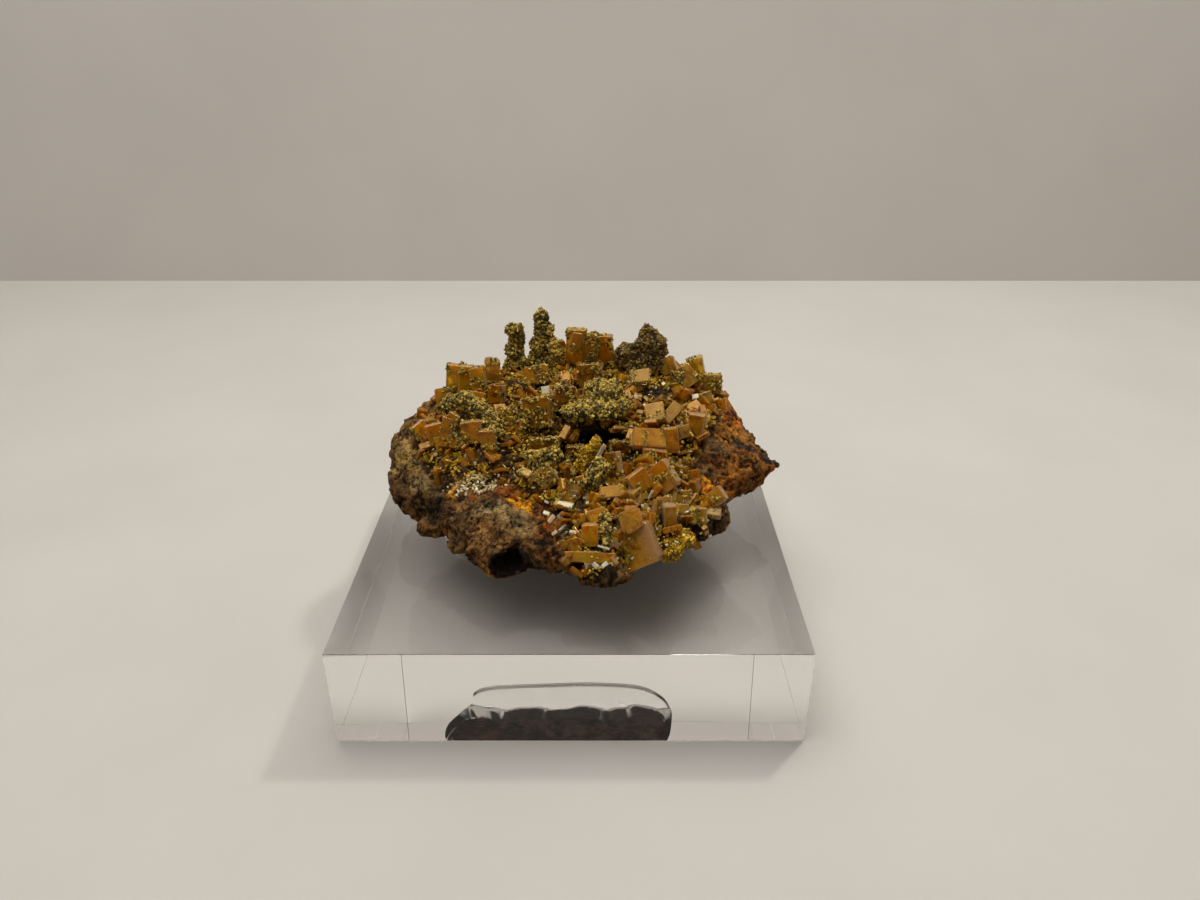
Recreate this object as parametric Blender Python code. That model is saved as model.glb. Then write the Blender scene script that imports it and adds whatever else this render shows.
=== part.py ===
"""Wulfenite on matrix.

A rusty plate of ironstone carries a druse of square wulfenite tablets with crusts and spires of mimetite.
The plate is stuck with a pad of clear gel to a square block of clear acrylic.

The origin is the centre of the block's underside. +Z is up, and the drusy face looks up and towards -Y.
Every list of places and sizes below is in millimetres.
"""

import math
import random

import bmesh
import bpy
from mathutils import Matrix, Vector, noise
from mathutils.bvhtree import BVHTree

MM = 0.001
GAP = 0.3

# Acrylic block
BLOCK_SIDE = 50.8
BLOCK_THICK = 12.0
BLOCK_EDGE = 0.4

# Clear gel pad between the block and the plate
PAD_CENTRE = (-2.1, 2.0)
PAD_RADII = (14.4, 13.3)
PAD_THICK = 1.4
PAD_SIDES = 28

# Ironstone plate
PLATE_CENTRE = (0.5, 2.0)
PLATE_FOOT = BLOCK_THICK + 2 * GAP + PAD_THICK
PLATE_SPOKES = 120
PLATE_CELL = 2.15
ROUGH_COARSE = (0.55, 5.5)
ROUGH_FINE = (0.34, 2.3)

# Round the plate from its front, counterclockwise seen from above:
# x, y of the rim, height of the rim's lower edge, height of its upper edge.
RIM = (
    (4.1, -17.6, 14.6, 17.2),
    (6.8, -16.2, 15.0, 18.0),
    (9.7, -14.9, 16.0, 18.8),
    (11.6, -13.2, 16.3, 19.4),
    (13.8, -11.2, 16.5, 19.4),
    (15.4, -11.6, 16.5, 19.0),
    (17.2, -10.9, 16.8, 19.2),
    (18.4, -8.4, 17.0, 19.6),
    (18.4, -5.4, 17.0, 20.2),
    (19.2, -3.1, 17.0, 20.4),
    (22.0, -1.4, 17.5, 20.4),
    (25.2, 0.6, 18.0, 20.2),
    (26.2, 2.4, 18.2, 20.4),
    (24.6, 4.6, 18.6, 21.0),
    (22.8, 7.8, 18.6, 22.2),
    (21.6, 11.0, 18.0, 23.6),
    (20.6, 14.0, 17.4, 25.0),
    (18.0, 17.6, 16.8, 25.4),
    (12.5, 20.3, 16.4, 25.6),
    (6.0, 22.0, 16.4, 26.0),
    (-1.0, 21.8, 16.2, 26.0),
    (-7.0, 20.8, 16.2, 25.6),
    (-13.0, 18.2, 16.0, 25.0),
    (-17.6, 14.4, 16.2, 24.6),
    (-20.4, 11.2, 16.2, 24.2),
    (-22.8, 7.4, 16.0, 23.2),
    (-24.2, 4.2, 15.8, 22.2),
    (-23.6, 1.6, 15.6, 21.4),
    (-23.4, -0.6, 15.4, 20.6),
    (-21.9, -3.8, 15.2, 19.6),
    (-17.8, -6.7, 15.0, 18.8),
    (-14.1, -10.1, 14.8, 18.4),
    (-9.5, -12.4, 14.8, 18.0),
    (-5.0, -13.8, 14.6, 17.6),
    (-2.0, -15.3, 14.4, 17.2),
    (0.6, -16.5, 14.4, 17.0),
)

# Spot heights of the plate's top: x, y, z.
TOP_HEIGHTS = (
    (0.0, -13.0, 19.4),
    (6.0, -12.5, 20.2),
    (-6.5, -9.5, 19.8),
    (-13.0, -6.0, 20.4),
    (-18.5, -2.5, 21.0),
    (12.0, -8.0, 20.6),
    (16.0, -4.0, 21.4),
    (21.5, 3.0, 21.4),
    (7.0, -5.0, 22.6),
    (-1.0, -6.0, 21.4),
    (-0.5, -1.5, 22.0),
    (-9.0, -2.0, 23.2),
    (-18.0, 5.0, 24.6),
    (-12.0, 3.0, 25.2),
    (-5.5, 3.5, 26.0),
    (2.0, 4.5, 26.8),
    (9.0, 3.0, 25.0),
    (15.0, 5.0, 24.2),
    (18.0, 11.0, 25.4),
    (10.0, 12.0, 27.4),
    (0.0, 13.0, 28.2),
    (-9.0, 12.0, 27.4),
    (-15.0, 10.5, 25.8),
    (4.0, 18.0, 27.6),
)
HEIGHT_BLEND = 1.6

# The hollow nodule at the front left, and the brow above it: centre and radii.
NODULE = ((-8.2, -11.8, 17.0), (3.4, 3.6, 2.9))
BROW = ((-8.6, -9.6, 19.2), (5.6, 2.6, 1.7))
VUG = ((-6.4, -14.9, 16.4), (1.9, 3.0, 1.6))


# Crust that carries the crystals of one group, and what a group's small crystals measure.
CRUST = 0.75
CRUST_SIDES = 13
CRUST_DEPTH = 3.0
CRUST_COARSE = 0.55
FILL_SIDE = (1.1, 2.2)
FILL_THICK = (0.45, 0.8)
BEVEL_SHARE = 0.3
SEED = 7

# Groups of intergrown wulfenite. Each has the middle and radii of its crust in plan, the number of small crystals
# between the large ones, and the large crystals: x, y, rise of the middle above the rock, width, height, thickness,
# bearing that the square face looks to, its lift above level, and its turn in its own plane, in degrees.
# A bearing of 0 is +X and of -90 is -Y, towards the front.
WULFENITE = {
    "wulfenite_front": (
        (4.6, -14.0),
        (5.4, 3.5),
        5,
        (
            (6.9, -14.4, 2.0, 5.2, 4.4, 1.9, -112, 24, 34),
            (6.0, -12.6, 1.6, 3.0, 2.6, 1.6, -96, 50, 8),
            (8.6, -14.4, -0.4, 2.5, 2.2, 1.2, -70, 18, 20),
            (2.6, -15.9, 1.3, 4.4, 2.6, 1.3, -90, 74, -3),
            (2.1, -13.6, 1.3, 1.8, 2.4, 0.9, -96, 18, 4),
            (2.9, -11.6, 1.1, 2.1, 1.6, 1.2, -78, 44, 10),
            (4.6, -16.4, 0.8, 1.5, 1.2, 0.6, -60, 50, 25),
        ),
    ),
    "wulfenite_right_edge": (
        (13.9, -9.6),
        (4.9, 3.5),
        5,
        (
            (14.3, -10.2, 1.3, 1.9, 1.8, 1.7, -86, 24, 0),
            (16.2, -8.6, 1.6, 1.8, 3.1, 1.0, -122, 24, -38),
            (16.2, -10.2, 1.1, 2.9, 1.1, 1.0, -90, 60, -8),
            (12.4, -9.8, 1.0, 1.7, 1.3, 0.9, -90, 34, 2),
            (12.8, -7.8, 1.1, 1.9, 1.4, 1.2, -92, 30, 5),
            (10.9, -12.4, 1.5, 1.5, 2.4, 1.2, -80, 6, 2),
            (10.4, -10.4, 1.3, 2.0, 2.0, 1.4, -100, 30, 28),
        ),
    ),
    "wulfenite_centre_right": (
        (8.4, -5.0),
        (5.0, 4.0),
        5,
        (
            (10.6, -6.0, 2.1, 3.4, 3.4, 1.2, -122, 16, -38),
            (7.9, -7.4, 1.5, 2.6, 2.3, 1.4, -64, 26, 20),
            (4.8, -5.0, 1.4, 2.4, 2.7, 0.9, -142, 10, 30),
            (4.6, -8.4, 1.1, 2.9, 1.4, 1.0, -90, 50, 4),
            (9.1, -2.0, 1.7, 3.8, 2.4, 1.3, -72, 54, -12),
            (9.6, -3.6, 1.1, 3.0, 1.9, 1.2, -86, 10, -9),
            (11.8, -1.6, 1.9, 1.6, 3.2, 0.8, -76, 10, 3),
        ),
    ),
    "wulfenite_right_shoulder": (
        (12.6, 3.0),
        (5.0, 3.4),
        5,
        (
            (10.0, 3.2, 1.7, 2.4, 2.4, 1.2, -100, 44, 15),
            (12.1, 4.2, 1.5, 3.1, 1.5, 1.2, -68, 50, 36),
            (15.1, 1.6, 1.6, 1.9, 2.5, 1.1, -112, 8, 0),
            (13.6, 0.9, 1.0, 1.4, 1.6, 1.0, -80, 30, 12),
        ),
    ),
    "wulfenite_right_back": (
        (13.6, 10.6),
        (6.2, 3.9),
        5,
        (
            (8.4, 9.6, 1.6, 2.5, 1.8, 1.2, -96, 44, 12),
            (14.4, 10.8, 2.0, 2.5, 2.8, 1.1, -80, 30, 28),
            (16.0, 12.4, 3.0, 2.1, 3.4, 1.3, -100, 8, 14),
            (18.1, 12.0, 2.0, 2.4, 2.6, 1.3, -90, 14, 4),
            (12.2, 12.4, 1.6, 2.2, 2.2, 1.0, -110, 24, 35),
            (17.0, 9.2, 1.2, 1.6, 1.6, 1.2, -70, 30, 10),
        ),
    ),
    "wulfenite_centre_left": (
        (-2.4, -7.4),
        (4.6, 3.4),
        5,
        (
            (-3.1, -6.9, 1.3, 2.3, 2.3, 0.9, -96, 28, 44),
            (-5.6, -5.6, 1.0, 1.7, 0.9, 0.6, -90, 60, -30),
            (-0.3, -5.1, 1.2, 0.7, 2.0, 0.5, -84, 20, 22),
            (-0.4, -8.0, 0.9, 2.4, 1.6, 0.7, -88, 36, 20),
            (-0.9, -9.5, 0.8, 2.1, 0.9, 0.5, -88, 62, -18),
        ),
    ),
    "wulfenite_centre": (
        (-3.6, 1.6),
        (5.2, 4.0),
        5,
        (
            (-4.4, 2.0, 2.0, 3.4, 3.6, 1.3, -102, 18, 8),
            (-8.0, 2.2, 1.3, 2.2, 2.1, 1.0, -84, 24, 12),
            (-3.4, -1.8, 1.5, 3.4, 2.2, 1.6, -90, 18, 2),
            (-1.2, 4.0, 1.9, 2.6, 3.2, 1.4, -80, 14, -6),
            (-6.3, 0.2, 1.4, 0.8, 2.4, 0.5, -60, 8, -18),
        ),
    ),
    "wulfenite_left": (
        (-14.8, 0.4),
        (5.6, 3.6),
        5,
        (
            (-15.2, 0.1, 1.9, 1.8, 3.3, 1.0, -112, 12, -8),
            (-17.0, 1.0, 1.5, 2.1, 2.7, 1.0, -70, 14, 10),
            (-12.2, -0.9, 1.7, 2.3, 2.8, 1.0, -100, 8, 8),
            (-18.9, 1.8, 1.1, 2.0, 2.3, 1.0, -60, 24, 30),
            (-10.2, -1.4, 1.5, 1.8, 2.7, 1.0, -94, 6, 5),
        ),
    ),
    "wulfenite_left_back": (
        (-13.4, 8.4),
        (5.0, 3.8),
        5,
        (
            (-15.7, 10.0, 2.2, 2.0, 3.7, 1.1, -100, 8, -6),
            (-14.0, 8.9, 2.0, 2.0, 3.5, 1.1, -84, 10, -4),
            (-12.2, 8.0, 1.8, 2.0, 3.7, 1.2, -100, 12, 11),
            (-10.7, 9.2, 2.0, 1.9, 3.7, 1.1, -80, 6, -9),
            (-15.0, 6.7, 1.1, 2.7, 1.9, 1.2, -95, 34, 6),
            (-9.9, 6.6, 1.3, 2.2, 2.4, 1.1, -112, 16, 6),
        ),
    ),
    "wulfenite_back": (
        (0.4, 11.2),
        (6.4, 4.6),
        5,
        (
            (-5.0, 8.9, 1.7, 3.1, 2.3, 1.4, -90, 34, 10),
            (-1.2, 7.6, 1.6, 1.4, 2.4, 0.8, -92, 50, 4),
            (0.0, 13.2, 2.9, 2.4, 4.6, 1.4, -96, 6, -5),
            (2.0, 13.5, 2.5, 2.4, 3.6, 1.4, -78, 8, 6),
            (3.9, 13.2, 2.6, 2.0, 3.9, 1.2, -100, 4, 3),
            (-2.2, 13.6, 2.2, 2.3, 3.0, 1.2, -68, 18, 14),
            (2.0, 8.0, 2.6, 4.2, 3.8, 1.6, -96, 16, 8),
        ),
    ),
}

# Mimetite crusts and spires: lumps that grew together, each x, y, z and three radii.
MIMETITE = {
    "mimetite_centre_cap": (
        (3.7, 3.6, 29.2, 2.4, 2.0, 1.5),
        (3.6, 1.5, 27.6, 3.0, 1.8, 1.3),
        (0.9, 1.6, 27.2, 2.2, 1.6, 1.3),
        (5.9, 2.4, 27.4, 1.6, 1.5, 1.2),
        (3.2, 4.0, 26.6, 1.8, 1.6, 2.0),
    ),
    "mimetite_left_ridge": (
        (-15.2, 3.4, 27.0, 1.5, 1.3, 1.3),
        (-13.4, 3.3, 27.5, 1.6, 1.4, 1.5),
        (-11.6, 2.2, 27.0, 1.6, 1.5, 1.5),
        (-10.4, 1.0, 26.2, 1.4, 1.4, 1.3),
        (-9.6, 0.2, 25.0, 1.2, 1.2, 1.2),
    ),
    "mimetite_left_spire": (
        (-8.1, 16.2, 27.4, 1.7, 1.6, 1.6),
        (-8.1, 16.2, 29.2, 1.2, 1.2, 1.4),
        (-7.9, 16.3, 30.9, 1.1, 1.1, 1.3),
        (-8.0, 16.3, 32.3, 1.2, 1.1, 1.1),
    ),
    "mimetite_tall_spire": (
        (-4.6, 16.2, 28.0, 2.0, 1.8, 1.8),
        (-4.5, 16.3, 30.4, 1.7, 1.5, 1.8),
        (-4.2, 16.3, 32.4, 1.3, 1.2, 1.4),
        (-4.7, 16.3, 34.1, 0.9, 0.9, 1.2),
    ),
    "mimetite_back_lump": (
        (9.2, 13.6, 28.2, 2.6, 2.0, 2.0),
        (9.4, 13.8, 30.4, 2.0, 1.7, 1.9),
        (9.2, 14.0, 32.2, 1.2, 1.2, 1.3),
        (7.0, 13.6, 29.6, 1.4, 1.3, 1.6),
    ),
    "mimetite_low_left": (
        (-4.6, -3.6, 24.6, 1.6, 1.2, 1.0),
        (-2.6, -3.5, 24.8, 1.6, 1.2, 1.1),
        (-3.6, -4.0, 23.4, 2.2, 0.9, 1.1),
    ),
    "mimetite_low_centre": (
        (2.3, -7.7, 22.4, 1.3, 1.2, 1.9),
        (3.4, -6.6, 23.4, 1.3, 1.3, 1.5),
    ),
    "mimetite_front_right": (
        (11.4, -14.5, 17.6, 2.0, 1.6, 1.6),
        (12.9, -13.4, 18.0, 1.7, 1.6, 1.6),
    ),
}
LUMP_ROUGH = (0.35, 1.5)
LUMP_CELL = 1.2

# The short prism that leans in the dark hollow: foot, head, width and thickness.
STUB = ((1.0, -3.2, 20.8), (2.7, -3.6, 25.9), 1.9, 1.4)

# What each node looks like: colour in linear values, roughness, and an index of refraction for what is clear.
ORANGE = ((0.60, 0.22, 0.05), 0.18, None)
AMBER = ((0.42, 0.16, 0.045), 0.2, None)
TAN = ((0.55, 0.33, 0.20), 0.22, None)
GREEN_CRUST = ((0.30, 0.27, 0.12), 0.6, None)
LOOKS = {
    "acrylic_block": ((0.9, 0.92, 0.9), 0.03, 1.49),
    "clear_gel_pad": ((0.82, 0.82, 0.78), 0.12, 1.41),
    "matrix": ((0.16, 0.075, 0.035), 0.9, None),
    "wulfenite_front": ORANGE,
    "wulfenite_right_edge": TAN,
    "wulfenite_centre_right": ORANGE,
    "wulfenite_right_shoulder": TAN,
    "wulfenite_right_back": TAN,
    "wulfenite_centre_left": TAN,
    "wulfenite_centre": AMBER,
    "wulfenite_left": ORANGE,
    "wulfenite_left_back": ORANGE,
    "wulfenite_back": AMBER,
}


def add_material(obj):
    """Gives the object a material of its own. One with an index of refraction lets light through."""
    made = bpy.data.materials.new(obj.name)
    made.use_nodes = True
    surface = made.node_tree.nodes["Principled BSDF"]
    colour, roughness, ior = LOOKS.get(obj.name, GREEN_CRUST)
    surface.inputs["Base Color"].default_value = (*colour, 1.0)
    surface.inputs["Roughness"].default_value = roughness
    surface.inputs["Metallic"].default_value = 0.0
    if ior:
        surface.inputs["IOR"].default_value = ior
        surface.inputs["Transmission Weight"].default_value = 1.0
    obj.data.materials.append(made)


def scaled(values):
    """A tuple of millimetres as a vector of metres."""
    return Vector(values) * MM


def new_object(name, bm):
    """A bmesh as an object of that name."""
    mesh = bpy.data.meshes.new(name)
    bm.to_mesh(mesh)
    bm.free()
    made = bpy.data.objects.new(name, mesh)
    bpy.context.scene.collection.objects.link(made)
    return made


def applied(obj):
    """Replaces the object's mesh by what its modifiers make of it.

    Its points and faces are put in a fixed order, because a Boolean leaves them in a different one each run.
    """
    graph = bpy.context.evaluated_depsgraph_get()
    made = bpy.data.meshes.new_from_object(obj.evaluated_get(graph))
    obj.modifiers.clear()
    order = sorted(range(len(made.vertices)), key=lambda k: tuple(made.vertices[k].co))
    place = {old: new for new, old in enumerate(order)}
    faces = []
    for polygon in made.polygons:
        corners = [place[k] for k in polygon.vertices]
        first = corners.index(min(corners))
        faces.append(corners[first:] + corners[:first])
    finished = bpy.data.meshes.new(obj.name)
    finished.from_pydata([made.vertices[k].co for k in order], [], sorted(faces))
    obj.data = finished
    bpy.data.meshes.remove(made)
    return obj


def boolean(obj, other, operation):
    """Joins other to obj, or cuts it from obj, and removes other."""
    change = obj.modifiers.new(operation, "BOOLEAN")
    change.operation = operation
    change.solver = "EXACT"
    change.object = other
    applied(obj)
    bpy.data.objects.remove(other)
    return obj


def triangulated(obj):
    bm = bmesh.new()
    bm.from_mesh(obj.data)
    bmesh.ops.triangulate(bm, faces=bm.faces)
    bm.to_mesh(obj.data)
    bm.free()
    return obj


def remeshed(obj, cell):
    """Joins what overlaps in the object into one skin of even cells."""
    cells = obj.modifiers.new("cells", "REMESH")
    cells.mode = "VOXEL"
    cells.voxel_size = cell * MM
    return applied(obj)


def ellipsoid(name, centre, radii, detail=3):
    bm = bmesh.new()
    bmesh.ops.create_icosphere(bm, subdivisions=detail, radius=1.0)
    bmesh.ops.scale(bm, vec=scaled(radii), verts=bm.verts)
    bmesh.ops.translate(bm, vec=scaled(centre), verts=bm.verts)
    return new_object(name, bm)


def round_trip(values, position):
    """A closed list read at a fractional position, on a Catmull-Rom curve."""
    count = len(values)
    index = int(math.floor(position))
    t = position - index
    a, b, c, d = (Vector(values[(index + k) % count]) for k in (-1, 0, 1, 2))
    return 0.5 * (2 * b + (c - a) * t + (2 * a - 5 * b + 4 * c - d) * t * t + (3 * b - a - 3 * c + d) * t**3)


def top_height(x, y):
    """Height of the plate's top, from the nearest spot heights."""
    total = weights = 0.0
    for px, py, pz in TOP_HEIGHTS:
        weight = 1.0 / ((x - px) ** 2 + (y - py) ** 2 + HEIGHT_BLEND**2) ** 2
        total += weight * pz
        weights += weight
    return total / weights


def plate_rings():
    """Closed rings of points in millimetres, from the middle of the top, over the rim, to the middle of the foot."""
    stations = [round_trip(RIM, k * len(RIM) / PLATE_SPOKES) for k in range(PLATE_SPOKES)]
    cx, cy = PLATE_CENTRE
    rings = []
    for share in (0.08, 0.25, 0.42, 0.58, 0.72, 0.84, 0.93):
        ring = []
        for x, y, _, high in stations:
            px, py = cx + (x - cx) * share, cy + (y - cy) * share
            edge = max(0.0, (share - 0.72) / 0.28) ** 2
            ring.append((px, py, top_height(px, py) * (1 - edge) + high * edge))
        rings.append(ring)
    rings.append([(x, y, high - 0.5) for x, y, _, high in stations])
    rings.append([(x, y, (low + high) / 2) for x, y, low, high in stations])
    rings.append([(x, y, low + 0.4) for x, y, low, _ in stations])
    for share, drop in ((0.93, 0.15), (0.80, 0.55), (0.68, 0.9)):
        rings.append(
            [
                (cx + (x - cx) * share, cy + (y - cy) * share, low + (PLATE_FOOT - low) * drop)
                for x, y, low, _ in stations
            ]
        )
    for share in (0.6, 0.3):
        rings.append([(cx + (x - cx) * share, cy + (y - cy) * share, PLATE_FOOT) for x, y, _, _ in stations])
    return rings


def plate_body():
    """The plate as one closed shell of rings."""
    bm = bmesh.new()
    rings = [[bm.verts.new(scaled(p)) for p in ring] for ring in plate_rings()]
    for upper, lower in zip(rings, rings[1:]):
        for k in range(PLATE_SPOKES):
            after = (k + 1) % PLATE_SPOKES
            bm.faces.new((upper[k], lower[k], lower[after], upper[after]))
    bm.faces.new(rings[0])
    bm.faces.new(reversed(rings[-1]))
    bmesh.ops.recalc_face_normals(bm, faces=bm.faces)
    return new_object("matrix", bm)


def roughened(point, normal):
    """Where a point of the even surface lies once the rock is broken and weathered."""
    moved = point.copy()
    for depth, size in (ROUGH_COARSE, ROUGH_FINE):
        here = point / (size * MM)
        moved += normal * noise.noise(here) * 2 * depth * MM
        moved += noise.noise_vector(here + Vector((7.1, 3.3, 5.7))) * depth * 0.5 * MM
    return moved


def build_matrix():
    plate = plate_body()
    boolean(plate, ellipsoid("nodule", *NODULE), "UNION")
    boolean(plate, ellipsoid("brow", *BROW), "UNION")
    remeshed(plate, PLATE_CELL)
    bm = bmesh.new()
    bm.from_mesh(plate.data)
    bm.normal_update()
    places = {v: roughened(v.co, v.normal) for v in bm.verts}
    foot = (PLATE_FOOT + 0.35) * MM
    for v, place in places.items():
        if v.co.z > foot:
            v.co = place
        v.co.z = max(v.co.z, PLATE_FOOT * MM)
    bm.to_mesh(plate.data)
    bm.free()
    boolean(triangulated(plate), ellipsoid("vug", *VUG, 2), "DIFFERENCE")
    return triangulated(plate)


def offset_plate(plate, name, distance):
    """A copy of the plate with its whole surface moved outwards."""
    bm = bmesh.new()
    bm.from_mesh(plate.data)
    bm.normal_update()
    moved = [(v, v.co + v.normal * min(v.calc_shell_factor(), 1.4) * distance * MM) for v in bm.verts]
    for v, place in moved:
        v.co = place
    return new_object(name, bm)


def height_over(tree, x, y):
    """Height of the plate's top surface over a place in plan."""
    hit = tree.ray_cast(scaled((x, y, 60.0)), Vector((0, 0, -1)))[0]
    return None if hit is None else hit.z / MM


def tablet_matrix(place, bearing, lift, turn):
    """Turns a tablet's +Z to its bearing and lift, with its +Y upwards, and puts it in place."""
    bearing, lift = math.radians(bearing), math.radians(lift)
    face = Vector((math.cos(bearing) * math.cos(lift), math.sin(bearing) * math.cos(lift), math.sin(lift)))
    side = Vector((0, 0, 1)).cross(face).normalized()
    turned = Matrix((side, face.cross(side), face)).transposed().to_4x4()
    return Matrix.Translation(scaled(place)) @ turned @ Matrix.Rotation(math.radians(turn), 4, "Z")


def add_tablet(bm, width, height, thick, matrix, bevelled, grow):
    """A square tablet. A large one's rim is bevelled from both faces to an edge round its middle."""
    slope = BEVEL_SHARE * thick if bevelled else 0.0
    levels = [(-thick / 2 - grow, slope), (thick / 2 + grow, slope)]
    if bevelled:
        levels.insert(1, (0.0, 0.0))
    loops = []
    for z, inset in levels:
        loop = []
        for sx, sy in ((-1, -1), (1, -1), (1, 1), (-1, 1)):
            corner = Vector((sx * (width / 2 + grow - inset), sy * (height / 2 + grow - inset), z)) * MM
            loop.append(bm.verts.new(matrix @ corner))
        loops.append(loop)
    bm.faces.new(reversed(loops[0]))
    bm.faces.new(loops[-1])
    for lower, upper in zip(loops, loops[1:]):
        for k in range(4):
            after = (k + 1) % 4
            bm.faces.new((lower[k], lower[after], upper[after], upper[k]))


def zone_reach(name, angle):
    """How far a group's crust reaches in plan: to its uneven border, or to where the next group's crust begins."""
    (cx, cy), (rx, ry) = WULFENITE[name][:2]
    c, s = math.cos(angle), math.sin(angle)
    wave = noise.noise(Vector((cx + 1.7 * c, cy + 1.7 * s, 0.5)))
    reach = (1 + 0.35 * wave) / math.hypot(c / rx, s / ry)
    for other, ((ox, oy), _, _, _) in WULFENITE.items():
        apart = math.hypot(ox - cx, oy - cy)
        if other != name and (ox - cx) * c + (oy - cy) * s > 0:
            reach = min(reach, (apart - GAP) / 2 * apart / ((ox - cx) * c + (oy - cy) * s))
    return reach


def group_tablets(name, tree):
    """A group's tablets, the large ones first: width, height, thickness, matrix and whether the rim is bevelled."""
    (cx, cy), _, count, large = WULFENITE[name]
    made = []
    for x, y, rise, width, height, thick, bearing, lift, turn in large:
        place = (x, y, height_over(tree, x, y) + rise)
        made.append((width, height, thick, tablet_matrix(place, bearing, lift, turn), True))
    draw = random.Random(f"{SEED}{name}")
    while len(made) < len(large) + count:
        angle = draw.uniform(0, math.tau)
        reach = math.sqrt(draw.uniform(0, 0.8)) * zone_reach(name, angle)
        x, y = cx + reach * math.cos(angle), cy + reach * math.sin(angle)
        side, thick = draw.uniform(*FILL_SIDE), draw.uniform(*FILL_THICK)
        bearing, lift, turn = draw.uniform(-170, -10), draw.uniform(0, 60), draw.uniform(-45, 45)
        ground = height_over(tree, x, y)
        if ground is not None:
            matrix = tablet_matrix((x, y, ground + CRUST + 0.3 * side), bearing, lift, turn)
            made.append((side, side * draw.uniform(0.7, 1.2), thick, matrix, False))
    return made


def druse(name, group, shell, tablets, coarse=1.0, grow=0.0):
    """A group's crust, cut from the shell round the plate, joined with its tablets."""
    cx, cy = WULFENITE[group][0]
    floor_height = top_height(cx, cy) - CRUST_DEPTH - grow
    bm = bmesh.new()
    outline = []
    for k in range(CRUST_SIDES):
        angle = k * math.tau / CRUST_SIDES
        reach = zone_reach(group, angle) + grow
        outline.append(bm.verts.new(scaled((cx + reach * math.cos(angle), cy + reach * math.sin(angle), floor_height))))
    floor = bm.faces.new(outline)
    walls = bmesh.ops.extrude_face_region(bm, geom=[floor])["geom"]
    bmesh.ops.translate(bm, vec=scaled((0, 0, 40.0)), verts=[v for v in walls if isinstance(v, bmesh.types.BMVert)])
    bmesh.ops.recalc_face_normals(bm, faces=bm.faces)
    made = new_object(name, bm)
    change(made, shell, "INTERSECT")
    coarser = made.modifiers.new("coarser", "DECIMATE")
    coarser.ratio = coarse
    applied(made)
    bm = bmesh.new()
    for tablet in tablets:
        add_tablet(bm, *tablet, grow)
    crystals = new_object("crystals", bm)
    change(made, crystals, "UNION")
    bpy.data.objects.remove(crystals)
    return made


def change(obj, other, operation):
    """A Boolean whose operands may cross themselves. It leaves the other object as it was."""
    step = obj.modifiers.new(operation, "BOOLEAN")
    step.operation = operation
    step.solver = "EXACT"
    step.use_self = True
    step.object = other
    return applied(obj)


def touches(one, other):
    trees = [BVHTree.FromObject(obj, bpy.context.evaluated_depsgraph_get()) for obj in (one, other)]
    return bool(trees[0].overlap(trees[1]))


def largest_piece(obj):
    """Leaves the largest of the separate pieces that a cut made, with its flat faces whole."""
    bm = bmesh.new()
    bm.from_mesh(obj.data)
    left, pieces = set(bm.faces), []
    while left:
        stack, piece = [left.pop()], []
        while stack:
            face = stack.pop()
            piece.append(face)
            for edge in face.edges:
                for other in edge.link_faces:
                    if other in left:
                        left.remove(other)
                        stack.append(other)
        pieces.append(piece)
    pieces.sort(key=lambda faces: sum(f.calc_area() for f in faces))
    for piece in pieces[:-1]:
        bmesh.ops.delete(bm, geom=piece, context="FACES")
    bmesh.ops.delete(bm, geom=[v for v in bm.verts if not v.link_faces], context="VERTS")
    bmesh.ops.dissolve_limit(bm, angle_limit=math.radians(1.5), verts=bm.verts, edges=bm.edges)
    bmesh.ops.triangulate(bm, faces=bm.faces)
    bm.to_mesh(obj.data)
    bm.free()
    return obj


def lump(name, balls):
    """Rough balls that grew together."""
    bm = bmesh.new()
    for x, y, z, *radii in balls:
        ball = bmesh.ops.create_icosphere(bm, subdivisions=3, radius=1.0)["verts"]
        bmesh.ops.scale(bm, vec=scaled(radii), verts=ball)
        bmesh.ops.translate(bm, vec=scaled((x, y, z)), verts=ball)
    made = new_object(name, bm)
    remeshed(made, LUMP_CELL)
    depth, size = LUMP_ROUGH
    for v in made.data.vertices:
        v.co += noise.noise_vector(v.co / (size * MM)) * depth * MM
    return made


def build_stub():
    """A leaning prism, narrower at its head."""
    foot, head, width, thick = STUB
    bm = bmesh.new()
    loops = []
    for (x, y, z), share in ((foot, 1.0), (head, 0.85)):
        half_width, half_thick = width * share / 2, thick * share / 2
        ring = ((-half_width, -half_thick), (half_width, -half_thick), (half_width, half_thick), (-half_width, half_thick))
        loops.append([bm.verts.new(scaled((x + dx, y + dy, z - 0.35 * dx))) for dx, dy in ring])
    bm.faces.new(reversed(loops[0]))
    bm.faces.new(loops[1])
    for k in range(4):
        after = (k + 1) % 4
        bm.faces.new((loops[0][k], loops[0][after], loops[1][after], loops[1][k]))
    return new_object("mimetite_stub", bm)


def build_groups(plate, tree):
    """Every group of wulfenite, each clear of the plate and of the groups before it."""
    rock = offset_plate(plate, "rock", GAP)
    skin = offset_plate(plate, "skin", GAP + CRUST)
    wide_skin = offset_plate(plate, "wide_skin", 2.5 * GAP + CRUST)
    groups, kept_clear = [], []
    for name in WULFENITE:
        tablets = group_tablets(name, tree)
        group = druse(name, name, skin, tablets, CRUST_COARSE)
        change(group, rock, "DIFFERENCE")
        for other in kept_clear:
            if touches(group, other):
                change(group, other, "DIFFERENCE")
        largest_piece(group)
        kept_clear.append(druse("clearance", name, wide_skin, tablets, grow=GAP))
        groups.append(group)
    for group in [lump(name, balls) for name, balls in MIMETITE.items()] + [build_stub()]:
        for other in [rock] + kept_clear:
            if touches(group, other):
                change(group, other, "DIFFERENCE")
        largest_piece(group)
        groups.append(group)
    for helper in [rock, skin, wide_skin] + kept_clear:
        bpy.data.objects.remove(helper)
    return groups


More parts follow.
